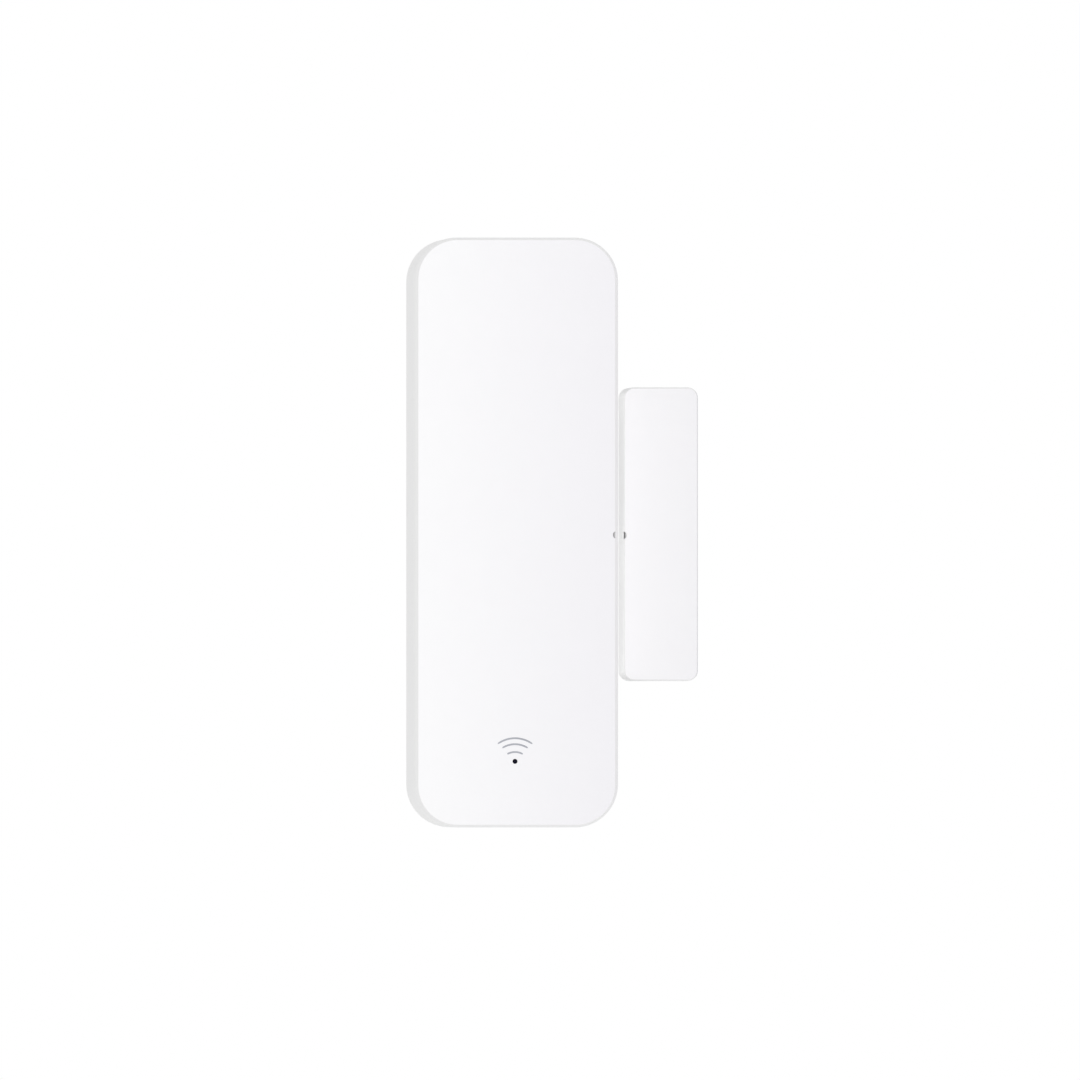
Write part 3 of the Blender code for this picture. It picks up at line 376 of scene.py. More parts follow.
def half_ellipse(centre, reach, half_height, steps):
    """Points up the half of an ellipse that bulges to the right, or to the left if reach is negative."""
    x, z = centre
    angles = [math.pi * (step / steps - 0.5) for step in range(steps + 1)]
    return [(x + reach * math.cos(angle), z + half_height * math.sin(angle)) for angle in angles]


def rounded_path(corners, steps=BEND_STEPS):
    """Path through (across, depth, trim) corners, each bent smoothly from trim before it to trim after."""
    path = []
    for index, (across, depth, trim) in enumerate(corners):
        corner = Vector((across, depth))
        if not trim:
            path.append(tuple(corner))
            continue
        before = Vector(corners[index - 1][:2]) - corner
        after = Vector(corners[(index + 1) % len(corners)][:2]) - corner
        start = corner + before.normalized() * trim
        end = corner + after.normalized() * trim
        for step in range(steps + 1):
            share = step / steps
            path.append(tuple(start.lerp(corner, share).lerp(corner.lerp(end, share), share)))
    return path


def add_rings(shape, rings, looped=False):
    """Skin over rings of equally many points. It runs round to its start, or has a face at each end."""
    made = [[shape.verts.new(Vector(point) * MM) for point in ring] for ring in rings]
    pairs = list(zip(made, made[1:]))
    if looped:
        pairs.append((made[-1], made[0]))
    else:
        shape.faces.new(made[0])
        shape.faces.new(made[-1])
    for ring, following in pairs:
        for index, vert in enumerate(ring):
            shape.faces.new((vert, ring[index - 1], following[index - 1], following[index]))


def add_loft(shape, sections):
    """Solid through (outline, depth) sections."""
    add_rings(shape, [[(x, -depth, z) for x, z in outline] for outline, depth in sections])


def add_box(shape, left, right, bottom, top, back, front, edge=0.0):
    """Box with its front edges bevelled by edge."""
    sides = (left, right, bottom, top)
    sections = [(corners_of(sides), back), (corners_of(sides), front - edge)]
    if edge:
        sections.append((corners_of(inset(sides, edge)), front))
    add_loft(shape, sections)


def add_turned(shape, profile, placement, steps=ROUND_STEPS, closed=False):
    """Solid turned about +Z from (radius, height) pairs, then put in place."""
    rings = []
    for radius, height in profile:
        ring = []
        for step in range(steps if radius else 1):
            angle = math.tau * step / steps
            point = Vector((radius * math.cos(angle), radius * math.sin(angle), height))
            ring.append(shape.verts.new((placement @ point) * MM))
        rings.append(ring)
    pairs = list(zip(rings, rings[1:]))
    if closed:
        pairs.append((rings[-1], rings[0]))
    for ring, following in pairs:
        for step in range(steps):
            after = step + 1
            corners = [ring[step % len(ring)], ring[after % len(ring)]]
            corners += [following[after % len(following)], following[step % len(following)]]
            shape.faces.new(list(dict.fromkeys(corners)))


def add_tube(shape, middle, radii, depths, edge=0.0, steps=SMALL_STEPS):
    """Tube along the depth, with its outer back edge bevelled by edge."""
    inner, outer = radii
    back, front = depths
    rim = [(outer - edge, back), (outer, back + edge)] if edge else [(outer, back)]
    profile = [(inner, back), *rim, (outer, front), (inner, front)]
    add_turned(shape, profile, facing_front(*middle), steps, closed=True)


def new_shape(add, *places, **settings):
    """Shape made by one of the functions that add to a shape."""
    shape = bmesh.new()
    add(shape, *places, **settings)
    return shape


def facing_front(x, z):
    """Placement of a turned solid whose heights are depths."""
    return Matrix.Translation((x, 0, z)) @ Matrix.Rotation(math.pi / 2, 4, "X")


def upright(x, depth, z, flipped=False):
    """Placement of a turned solid that stands on z, or hangs from it when flipped."""
    turn = Matrix.Rotation(math.pi if flipped else 0.0, 4, "X")
    return Matrix.Translation((x, -depth, z)) @ turn


# Pieces


def make_mesh(name, shape):
    bmesh.ops.recalc_face_normals(shape, faces=shape.faces)
    mesh = bpy.data.meshes.new(name)
    shape.to_mesh(mesh)
    shape.free()
    mesh.shade_smooth()
    mesh.set_sharp_from_angle(angle=SHARP_ANGLE)
    return mesh


def add_object(name, data):
    made = bpy.data.objects.new(name, data)
    bpy.context.collection.objects.link(made)
    return made


def make_piece(name, shape, finish, node=None):
    """Piece that stands for a CAD node and rides on its body, or a detail fixed to the housing."""
    piece = add_object(name, make_mesh(name, shape))
    piece.data.materials.append(finish)
    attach(piece, frame["nodes"][node]["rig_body"] if node else "sensor_housing")
    if node:
        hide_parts(node)
    return piece


def cut(piece, shape):
    """Cuts a shape out of a piece for good."""
    cutter = add_object("cutter", make_mesh("cutter", shape))
    modifier = piece.modifiers.new("cut", "BOOLEAN")
    modifier.object = cutter
    modifier.solver = "EXACT"
    whole = piece.data
    view = bpy.context.evaluated_depsgraph_get()
    piece.data = bpy.data.meshes.new_from_object(piece.evaluated_get(view))
    piece.modifiers.clear()
    bpy.data.meshes.remove(whole)
    bpy.data.objects.remove(cutter)
    piece.data.set_sharp_from_angle(angle=SHARP_ANGLE)


def add_to(piece, shape):
    """Adds more solids to a piece."""
    extra = make_mesh("extra", shape)
    whole = bmesh.new()
    whole.from_mesh(piece.data)
    whole.from_mesh(extra)
    whole.to_mesh(piece.data)
    whole.free()
    bpy.data.meshes.remove(extra)
    piece.data.shade_smooth()
    piece.data.set_sharp_from_angle(angle=SHARP_ANGLE)


def keep_flats_flat(piece):
    """Weighs normals by face area, so that wide flat faces shade flat beside small bends."""
    modifier = piece.modifiers.new("shading", "WEIGHTED_NORMAL")
    modifier.weight = FLAT_WEIGHT
    modifier.keep_sharp = True


def refine(name, node, finish, edge=0.0):
    """Copy of a CAD node with flat faces made whole, its edges eased by edge and its round faces smooth."""
    source = frame["nodes"][node]
    shape = bmesh.new()
    shape.from_mesh(source.data)
    bmesh.ops.remove_doubles(shape, verts=shape.verts, dist=MERGE * MM)
    bmesh.ops.dissolve_limit(shape, angle_limit=FLAT_ANGLE, verts=shape.verts, edges=shape.edges)
    if edge:
        corners = [e for e in shape.edges if e.is_manifold and e.calc_face_angle() > EDGE_ANGLE]
        bmesh.ops.bevel(
            shape, geom=corners, offset=edge * MM, segments=2, profile=0.5, affect="EDGES", clamp_overlap=True
        )
    piece = make_piece(name, shape, finish, node)
    keep_flats_flat(piece)


# Finishes


class Finish:
    """Principled material whose details are placed in millimetres."""

    def __init__(self, name, colour, roughness, metallic=0.0):
        self.material = bpy.data.materials.new(name)
        self.material.use_nodes = True
        self.nodes = self.material.node_tree.nodes
        self.surface = self.nodes["Principled BSDF"]
        self.colour = (*colour, 1.0)
        self.normal = None
        self.space = self.nodes.new("ShaderNodeTexCoord")
        scaled = {0: self.space.outputs["Object"], "Scale": 1 / MM}
        self.place = self.node("ShaderNodeVectorMath", scaled, operation="SCALE")
        self.put(roughness, self.surface, "Roughness")
        self.put(metallic, self.surface, "Metallic")

    def put(self, value, node, key):
        """Links another node's socket to an input, or sets its value."""
        if isinstance(value, bpy.types.NodeSocket):
            self.material.node_tree.links.new(value, node.inputs[key])
        else:
            node.inputs[key].default_value = value

    def node(self, kind, inputs, output=0, **settings):
        """Output of a new node that has these inputs and settings."""
        made = self.nodes.new(kind)
        for setting, value in settings.items():
            setattr(made, setting, value)
        for key, value in inputs.items():
            self.put(value, made, key)
        return made.outputs[output]

    def grain(self, size, detail=2.0, stretch=(1, 1, 1)):
        """Noise from 0 to 1 with features of a size in millimetres."""
        spread = [1 / (size * share) for share in stretch]
        place = self.node("ShaderNodeVectorMath", {0: self.place, 1: spread}, operation="MULTIPLY")
        return self.node("ShaderNodeTexNoise", {"Vector": place, "Scale": 1.0, "Detail": detail}, "Fac")

    def pores(self, size):
        """Distance from the middles of scattered round pores, from 0 to 1."""
        return self.node("ShaderNodeTexVoronoi", {"Vector": self.place, "Scale": 1 / size}, "Distance")

    def along(self, axis):
        """Place along an axis, in millimetres."""
        return self.node("ShaderNodeSeparateXYZ", {0: self.place}, axis)

    def facing(self, axis):
        """Share of the surface normal along an axis."""
        return self.node("ShaderNodeSeparateXYZ", {0: self.space.outputs["Normal"]}, axis)

    def spread(self, value, source, target):
        """Value brought from one range to another, and kept inside it."""
        ends = zip(("From Min", "From Max", "To Min", "To Max"), (*source, *target))
        return self.node("ShaderNodeMapRange", {"Value": value, **dict(ends)}, clamp=True)

    def times(self, first, second):
        return self.node("ShaderNodeMath", {0: first, 1: second}, operation="MULTIPLY")

    def tint(self, amount, colour):
        """Mixes another colour in by an amount from 0 to 1."""
        mixed = {MIX_AMOUNT: amount, MIX_FIRST: self.colour, MIX_SECOND: (*colour, 1.0)}
        self.colour = self.node("ShaderNodeMix", mixed, MIX_RESULT, data_type="RGBA")

    def mottle(self, size, detail, source, amount, colour):
        """Tints where the grain is high: from none at the source's start to amount at its end."""
        self.tint(self.spread(self.grain(size, detail), source, (0.0, amount)), colour)

    def roughen(self, grain, low, high):
        self.put(self.spread(grain, (0.3, 0.7), (low, high)), self.surface, "Roughness")

    def raise_by(self, value, height):
        """Bump of a height in millimetres."""
        inputs = {"Height": value, "Distance": height * MM, "Strength": 1.0}
        if self.normal:
            inputs["Normal"] = self.normal
        self.normal = self.node("ShaderNodeBump", inputs)

    def done(self, **surface):
        self.put(self.colour, self.surface, "Base Color")
        if self.normal:
            self.put(self.normal, self.surface, "Normal")
        for name, value in surface.items():
            self.put(value, self.surface, name.replace("_", " "))
        return self.material


def casing_finish(name, node, faces, wall_colour, shade=None):
    """Fine matt white plastic. Its front face carries painted light: it is painted lighter than the walls,
    lit at the left and turning greyer and cooler towards the right.
    Its right wall may carry a painted shade towards the face."""
    lit_left_face_colour, shaded_right_face_colour = faces
    left, right, _, face = box_of(node)[:4]
    finish = Finish(name, wall_colour, 0.42)
    # Painted shade: the right wall is darkened towards the face, and the darkening fades out behind it.
    if shade:
        side = finish.spread(finish.facing("X"), (0.6, 0.9), (0.0, 1.0))
        painted_shade_near_face = finish.spread(finish.along("Y"), (PAINTED_SHADE_FROM - face, PAINTED_SHADE_TO - face), (1.0, 0.0))
        finish.tint(finish.times(side, painted_shade_near_face), shade)
    # Painted light: the front face is painted lighter than the walls, going from the lit left colour to the
    # greyer, cooler shaded right colour.
    front = finish.spread(finish.facing("Y"), (-0.9, -0.99), (0.0, 1.0))
    across = finish.spread(finish.along("X"), (left, right), (0.0, 1.0))
    finish.tint(front, lit_left_face_colour)
    finish.tint(finish.times(front, across), shaded_right_face_colour)
    finish.mottle(9.0, 3.0, (0.35, 0.65), 0.05, (0.86, 0.86, 0.88))
    finish.roughen(finish.grain(1.6, 4.0), 0.38, 0.46)
    finish.raise_by(finish.grain(0.12), 0.0012)
    return finish.done(Specular_IOR_Level=0.35)


def plastic_finish(name, colour, roughness, grain_height=0.002):
    finish = Finish(name, colour, roughness)
    paler = [min(share * 1.35 + 0.01, 1.0) for share in colour]
    finish.mottle(4.0, 4.0, (0.4, 0.7), 0.35, paler)
    finish.roughen(finish.grain(0.9, 3.0), roughness - 0.06, roughness + 0.08)
    finish.raise_by(finish.grain(0.15), grain_height)
    return finish.done()


def metal_finish(name, colour, roughness, brushed=(1, 1, 1), tarnish=(0.3, 0.26, 0.2)):
    """Metal with drawing lines along the long way of brushed, and faint tarnish."""
    finish = Finish(name, colour, roughness, 1.0)
    finish.mottle(2.5, 4.0, (0.5, 0.8), 0.3, tarnish)
    lines = finish.grain(0.08, 3.0, brushed)
    finish.roughen(lines, roughness - 0.08, roughness + 0.12)
    finish.raise_by(lines, 0.0015)
    return finish.done()


def foam_finish(name, colour, shade):
    """Closed-cell foam: small round pores over a soft mottled colour."""
    finish = Finish(name, colour, 0.85)
    finish.tint(finish.spread(finish.pores(0.3), (0.0, 0.4), (0.9, 0.0)), shade)
    finish.mottle(1.8, 4.0, (0.4, 0.7), 0.5, shade)
    finish.raise_by(finish.pores(0.3), 0.08)
    finish.raise_by(finish.grain(0.5, 3.0), 0.03)
    return finish.done(Specular_IOR_Level=0.25)


def adhesive_finish(name):
    """Foam tape's sticky face: a clear film over faint foam pores, with a pressed grid."""
    finish = Finish(name, (0.66, 0.66, 0.62), 0.4)
    finish.tint(finish.spread(finish.pores(0.45), (0.0, 0.35), (0.75, 0.0)), (0.4, 0.4, 0.37))
    finish.mottle(5.0, 3.0, (0.4, 0.7), 0.45, (0.52, 0.52, 0.48))
    finish.roughen(finish.grain(1.5, 3.0), 0.3, 0.55)
    finish.raise_by(finish.grain(0.9), 0.05)
    finish.raise_by(finish.pores(0.45), 0.05)
    return finish.done()


def laminate_finish(name, colour, copper):
    """Solder mask over glass weave, with paler copper areas underneath."""
    finish = Finish(name, colour, 0.3)
    pours = {"Vector": finish.place, "Scale": 0.35, "Mortar Size": 0.03}
    gaps = finish.node("ShaderNodeTexBrick", pours, "Fac")
    finish.tint(finish.spread(gaps, (0.0, 1.0), (0.32, 0.22)), copper)
    threads = {"Vector": finish.place, "Scale": 1.6, "Distortion": 0.3}
    weave = finish.node("ShaderNodeTexWave", threads, "Fac", wave_profile="SIN")
    finish.roughen(finish.grain(1.2, 3.0), 0.22, 0.4)
    finish.raise_by(weave, 0.004)
    finish.raise_by(finish.grain(0.3), 0.003)
    return finish.done(Coat_Weight=0.4)


def glass_finish(name):
    """Green-tinted glass with drawing waves."""
    finish = Finish(name, (0.72, 0.9, 0.82), 0.03)
    finish.tint(finish.spread(finish.grain(1.2, 2.0, (1, 1, 4)), (0.4, 0.7), (0.0, 0.4)), (0.6, 0.82, 0.74))
    finish.raise_by(finish.grain(0.7, 2.0, (1, 1, 5)), 0.004)
    return finish.done(Transmission_Weight=0.9, IOR=1.5)


def resin_finish(name, colour, shine=0.5):
    """Moulded resin with a faint haze; shine is how much of the room its surface mirrors."""
    finish = Finish(name, colour, 0.12)
    paler = [min(share * 2 + 0.004, 1.0) for share in colour]
    finish.mottle(0.25, 2.0, (0.4, 0.7), 0.5, paler)
    finish.roughen(finish.grain(0.4), 0.08, 0.2)
    finish.raise_by(finish.grain(0.3), 0.001)
    return finish.done(Specular_IOR_Level=shine)


def sleeve_finish(name, node, flipped):
    """Printed cell sleeve: slate body, a pale ring, and a teal band towards the positive end."""
    bottom, top = box_of(node)[4:]
    start, tip = (top, bottom) if flipped else (bottom, top)
    finish = Finish(name, (0.045, 0.055, 0.07), 0.28, 0.35)
    height = finish.along("Z")
    for ring, colour in ((SLEEVE_RING, (0.55, 0.56, 0.58)), (SLEEVE_BAND, (0.01, 0.16, 0.2))):
        edge = [start + (tip - start) * share for share in ring]
        finish.tint(finish.spread(height, edge, (0.0, 1.0)), colour)
    finish.mottle(3.0, 4.0, (0.5, 0.8), 0.2, (0.3, 0.32, 0.35))
    finish.roughen(finish.grain(0.8, 3.0), 0.2, 0.38)
    finish.raise_by(finish.grain(1.5), 0.01)
    return finish.done(Coat_Weight=0.5)


# Casing


def make_shell(name, node, corner, taper, walls, finish):
    """Cover that is open at the back, with its walls leaning in a little near its face."""
    left, right, back, front, bottom, top = box_of(node)
    (side_lean, end_lean), lean_depth = taper
    side_wall, front_wall = walls
    inner_front = front - front_wall
    inside = [(side_wall + STRETCH, inner_front, 0), (side_wall, inner_front, INNER_BEND)]
    inside += [(side_wall, back, RIM_BEND), (0, back, RIM_BEND), (0, back + STRETCH, 0)]
    outside = [(0, back + 1.5 * STRETCH, 0), (0, front - lean_depth, LEAN_BEND)]
    outside += [(side_lean, front, FACE_BEND), (side_lean + STRETCH / 4, front, 0)]
    rings = [(across, across, depth) for across, depth in rounded_path(inside)]
    rings += [(across, across * end_lean / side_lean, depth) for across, depth in rounded_path(outside)]
    sections = []
    for across, up, depth in rings:
        sides = (left + across, right - across, bottom + up, top - up)
        sections.append((rounded_rectangle(sides, max(corner - across, side_wall / 2)), depth))
    return make_piece(name, new_shape(add_loft, sections), finish, node)


def pocket(edge_x, side, front, deep):
    """Half disc with its flat side at edge_x, bulging towards side. Its floor rises from left to right."""
    middle_z = middle_of("magnet_cover")[1] - POCKET_BELOW_MIDDLE
    width, half_height = POCKET_SIZE
    left = min(edge_x, edge_x + side * width)
    floor = []
    mouth = []
    for x, z in half_ellipse((edge_x, middle_z), side * width, half_height, SMALL_STEPS):
        depth = deep + (POCKET_LEAST_DEPTH - deep) * (x - left) / width
        floor.append((x, depth - front, z))
        mouth.append((x, -front - CUT_EXTRA, z))
    return new_shape(add_rings, [floor, mouth])


def make_front_cover(finish):
    _, right, _, front, _, top = box_of("front_cover")
    inner_front = front - FRONT_WALL
    taper = (SENSOR_TAPER, SENSOR_TAPER_DEPTH)
    walls = (SENSOR_WALL, FRONT_WALL)
    cover = make_shell("cover_shell", "front_cover", SENSOR_CORNER, taper, walls, finish)
    light = middle_of("light_pipe")
    window = circle(light, WINDOW_RADIUS)
    cut(cover, new_shape(add_loft, [(window, front - 2 * FRONT_WALL), (window, front + CUT_EXTRA)]))
    cut(cover, pocket(right - SENSOR_TAPER[0] + POCKET_OPEN, -1, front, POCKET_DEPTH))
    fittings = bmesh.new()
    for node in SCREWS:
        x, z = middle_of(node)
        add_tube(fittings, (x, z), BOSS_RADII, (BOSS_BACK, inner_front + OVERLAP), edge=0.2)
        for turn in range(4):
            angle = turn * math.pi / 2
            middle = (x + BOSS_RIB_REACH * math.cos(angle), z + BOSS_RIB_REACH * math.sin(angle))
            half = BOSS_RIB_HALF if turn % 2 == 0 else BOSS_RIB_HALF[::-1]
            add_box(fittings, *around(middle, *half), BOSS_RIB_BACK, inner_front + RIB_OVERLAP)
    add_tube(fittings, light, COLLAR_RADII, (COLLAR_BACK, inner_front + OVERLAP), edge=0.1)
    hook_top = top - SENSOR_WALL + OVERLAP
    add_box(fittings, -HOOK_HALF_WIDTH, HOOK_HALF_WIDTH, HOOK_BOTTOM, hook_top, *HOOK_DEPTHS)
    add_to(cover, fittings)
    keep_flats_flat(cover)


def make_magnet_cover(finish):
    left, right, _, front = box_of("magnet_cover")[:4]
    taper = (MAGNET_TAPER, MAGNET_TAPER_DEPTH)
    walls = (MAGNET_WALL, MAGNET_WALL)
    cover = make_shell("magnet_shell", "magnet_cover", MAGNET_CORNER, taper, walls, finish)
    flat_x = left + MAGNET_TAPER[0] - MAGNET_POCKET_OPEN
    cut(cover, pocket(flat_x, 1, front, MAGNET_POCKET_DEPTH))
    bar_bottom, bar_top = box_of("magnet_bar")[4:]
    ribs = bmesh.new()
    reach = MAGNET_WALL - OVERLAP
    for low in (bar_bottom - BAR_RIB_GAP - BAR_RIB_WALL, bar_top + BAR_RIB_GAP):
        sides = (left + reach, right - reach, low, low + BAR_RIB_WALL)
        add_box(ribs, *sides, BAR_RIB_BACK, front - MAGNET_WALL + RIB_OVERLAP)
    add_to(cover, ribs)
    keep_flats_flat(cover)


def make_back_plate(name, node, plan, finish):
    """Plate with a rounded rear rim, and the low wall that locates its cover, still to be added to it."""
    corner, edge, plate_front, (lip_inset, lip_wall, lip_corner) = plan
    back, front = box_of(node)[2:4]
    sides = sides_of(node)
    rim = [(edge + REAR_STRETCH, back, 0), (0, back, edge), (0, plate_front, PLATE_BEND)]
    rim.append((FRONT_STRETCH, plate_front, 0))
    sections = []
    for across, depth in rounded_path(rim):
        sections.append((rounded_rectangle(inset(sides, across), corner - across), depth))
    plate = make_piece(name, new_shape(add_loft, sections), finish, node)
    outer = inset(sides, lip_inset)
    root = plate_front - PLATE_OVERLAP
    path = rounded_path([(0, root, 0), (0, front, LIP_BEND), (lip_wall, front, LIP_BEND)])
    rings = []
    for across, depth in [*path, (lip_wall, root)]:
        outline = rounded_rectangle(inset(outer, across), max(lip_corner - across, LEAST_LIP_CORNER))
        rings.append([(x, -depth, z) for x, z in outline])
    return plate, new_shape(add_rings, rings, looped=True)


def make_back_plates(finish):
    """Sensor unit's plate with its notch, sink marks, snaps, rings and ribs, and the magnet unit's plate."""
    _, right, back, front, bottom, top = box_of("back_plate")
    plate, wall = make_back_plate("plate_shell", "back_plate", SENSOR_PLATE, finish)
    notch = (-NOTCH_HALF_WIDTH, NOTCH_HALF_WIDTH, bottom - CUT_EXTRA, bottom + NOTCH_REACH)
    cut(plate, new_shape(add_box, *notch, NOTCH_BACK, front + CUT_EXTRA))
    for z in (bottom + SINK_MARK_INSET, top - SINK_MARK_INSET):
        for x in SINK_MARK_PLACES:
            mark = circle((x, z), SINK_MARK_RADIUS)
            cut(plate, new_shape(add_loft, [(mark, back - CUT_EXTRA), (mark, back + SINK_MARK_DEPTH)]))
    root = PLATE_FRONT - PLATE_OVERLAP
    ring_x, ring_z = RING_PLACE
    for side, end in QUARTERS:
        edges = sorted(side * (right - reach) for reach in SNAP_REACH)
        low = end * SNAP_Z - SNAP_HALF_LENGTH
        add_box(wall, *edges, low, low + 2 * SNAP_HALF_LENGTH, *SNAP_DEPTHS, edge=0.1)
        add_tube(wall, (side * ring_x, end * ring_z), RING_RADII, (root, RING_FRONT))
    for z in PLATE_RIBS:
        add_box(wall, *around((0, z), *PLATE_RIB_HALF), root, PLATE_RIB_FRONT, edge=0.08)
    add_to(plate, wall)
    keep_flats_flat(plate)
    plate, wall = make_back_plate("magnet_plate_shell", "magnet_back_plate", MAGNET_PLATE, finish)
    add_to(plate, wall)
    keep_flats_flat(plate)


def make_tape(name, node, corner, plate_node, foam, adhesive):
    """Foam tape with a slightly ragged foam edge between its two sticky films."""
    back = box_of(node)[2]
    front = box_of(plate_node)[2]
    middle_x, middle_z = middle_of(node)
    outline = walk(rounded_rectangle(sides_of(node), corner, steps=10), TAPE_SPACING)
    foam_depth = front - back - 2 * FILM
    depths = [back, back + FILM]
    depths += [back + FILM + foam_depth * level / FOAM_LEVELS for level in range(FOAM_LEVELS + 1)]
    depths += [front - FILM, front]
    rings = []
    for index, depth in enumerate(depths):
        in_foam = 1 < index < len(depths) - 2
        ring = []
        for x, z in outline:
            spot = (x * FOAM_WAVES[0], depth * FOAM_WAVES[1], z * FOAM_WAVES[0])
            pull = FOAM_PULL * (FOAM_MEAN + noise.noise(spot)) if in_foam else 0.0
            inward = Vector((middle_x - x, 0, middle_z - z)).normalized()
            ring.append(Vector((x, -depth, z)) + inward * pull)
        rings.append(ring)
    tape = make_piece(name, new_shape(add_rings, rings), foam, node)
    tape.data.materials.append(adhesive)
    for face in tape.data.polygons:
        if len(face.vertices) > 4:
            face.material_index = 1


def walk(outline, spacing):
    """Points evenly spaced along a closed outline."""
    points = []
    for start, end in zip(outline, outline[1:] + outline[:1]):
        count = max(1, round(math.dist(start, end) / spacing))
        for step in range(count):
            share = step / count
            points.append((start[0] + (end[0] - start[0]) * share, start[1] + (end[1] - start[1]) * share))
    return points


def make_mark(finish):
    """Three printed arcs above the indicator, a generic sign for a wireless signal."""
    front = box_of("front_cover")[3]
    light_x, light_z = middle_of("light_pipe")
    centre_z = light_z - MARK_BELOW_LIGHT
    shape = bmesh.new()
    for radius, half_angle in zip(MARK_RADII, MARK_HALF_ANGLES):
        rings = []
        for step in range(MARK_STEPS + 1):
            share = 2 * step / MARK_STEPS - 1
            angle = math.radians(half_angle) * share
            half = MARK_WIDTH / 2 * math.sqrt(max(1 - abs(share) ** MARK_END_SHARPNESS, MARK_END_LEAST))
            ring = []
            for side, depth in ((-1, -INK_SINK), (1, -INK_SINK), (1, MARK_THICKNESS), (-1, MARK_THICKNESS)):
                reach = radius + side * half
                x = light_x + reach * math.sin(angle)
                z = centre_z + reach * math.cos(angle)
                ring.append((x, -(front + depth), z))
            rings.append(ring)
        add_rings(shape, rings)
    make_piece("wireless_mark", shape, finish)


# Power


def make_cell(name, node, flipped, can, sleeve):
    """Cell with a dished negative end, a stepped positive end and a shrunk sleeve."""
    x, depth, radius, bottom, top = round_of(node)
    placement = upright(x, depth, top if flipped else bottom, flipped)
    length = top - bottom
    shoulder = length - CELL_NUB_LENGTH
    dish = [(0, 0.25), (2.7, 0.25), (3.0, 0.1), (3.4, 0.0)]
    side = [(0.7, 0.0), (0.25, 0.15), (0.1, 0.6)]
    side += [(0.1, shoulder - 0.6), (0.25, shoulder - 0.15), (0.7, shoulder - 0.02)]
    side = [(radius - inward, height) for inward, height in side]
    groove = [(2.9, shoulder - 0.02), (2.7, shoulder - 0.12), (2.2, shoulder - 0.12), (1.95, shoulder + 0.05)]
    nub = [(1.9, length - 0.2), (1.7, length), (0, length)]
    shape = new_shape(add_turned, dish + side + groove + nub, placement)
    make_piece(f"{name}_can", shape, can, node)
    outer = [(0.85, 0.01), (0.5, -0.02), (0.14, 0.12), (0, 0.55), (0, shoulder - 0.55)]
    outer += [(0.14, shoulder - 0.12), (0.5, shoulder + 0.02), (1.0, shoulder + 0.01)]
    outer = [(radius - inward, height) for inward, height in outer]
    inner = []
    for across, height in reversed(outer):
        inner.append((across - SLEEVE_WALL, min(max(height, SLEEVE_WALL), shoulder - SLEEVE_WALL)))
    shape = new_shape(add_turned, outer + inner, placement, closed=True)
    make_piece(f"{name}_sleeve", shape, sleeve)


def make_polarity_marks(finish):
    """Plus and minus signs printed on both cells, facing the wall."""
    along, across = SIGN_HALF_ARM
    minus_arms = ((along, across),)
    plus_arms = ((along, across), (across, along))
    shape = bmesh.new()
    for side, flipped in CELLS:
        x, depth, radius, bottom, top = round_of(f"battery_{side}")
        low, high = bottom + SIGN_FROM_END, top - SIGN_FROM_END
        plus, minus = (low, high) if flipped else (high, low)
        for height, arms in ((plus, plus_arms), (minus, minus_arms)):
            for half_width, half_height in arms:
                ends = (height - half_height, height + half_height)
                add_patch(shape, (x, depth), radius, half_width / radius, ends)
    make_piece("cell_polarity_marks", shape, finish)


def add_patch(shape, axis, radius, half_angle, ends):
    """Thin curved patch of ink on the wall side of an upright round body."""
    x, depth = axis
    bottom, top = ends
    low, high = radius - PATCH_SINK, radius + PATCH_RISE
    rings = []
    for step in range(PATCH_STEPS + 1):
        angle = half_angle * (2 * step / PATCH_STEPS - 1)
        corners = ((low, bottom), (high, bottom), (high, top), (low, top))
        rings.append([(x + r * math.sin(angle), r * math.cos(angle) - depth, z) for r, z in corners])
    add_rings(shape, rings)


# Electronics


def layer(face, rise):
    """Depths of a layer on a board face given as (depth, side), sunk in a little."""
    depth, side = face
    return sorted((depth - side * LAYER_SINK, depth + side * rise))


def add_trace(shape, points, width, face, rise=TRACK_RISE, looped=False):
    """Flat strip through (x, z) points with mitred bends, on a board face."""
    back, front = layer(face, rise)
    rings = []
    for index, point in enumerate(points):
        middle = Vector(point)
        before = middle - Vector(points[index - 1]) if index or looped else None
        following = points[(index + 1) % len(points)]
        after = Vector(following) - middle if index < len(points) - 1 or looped else before
        before = (before or after).normalized()
        after = after.normalized()
        bisector = (before + after).normalized()
        across = Vector((-bisector.y, bisector.x)) * width / 2 / bisector.dot(after)
        left = middle + across
        right = middle - across
        edges = ((left, back), (right, back), (right, front), (left, front))
        rings.append([(edge.x, -depth, edge.y) for edge, depth in edges])
    add_rings(shape, rings, looped)


def add_pad(shape, x, z, width, height, face):
    sides = around((x, z), width / 2, height / 2)
    outline = rounded_rectangle(sides, min(width, height) / 5, steps=4)
    add_loft(shape, [(outline, depth) for depth in layer(face, PAD_RISE)])


def add_ring_pad(shape, middle, radii, face):
    add_tube(shape, middle, radii, layer(face, PAD_RISE), steps=PAD_STEPS)


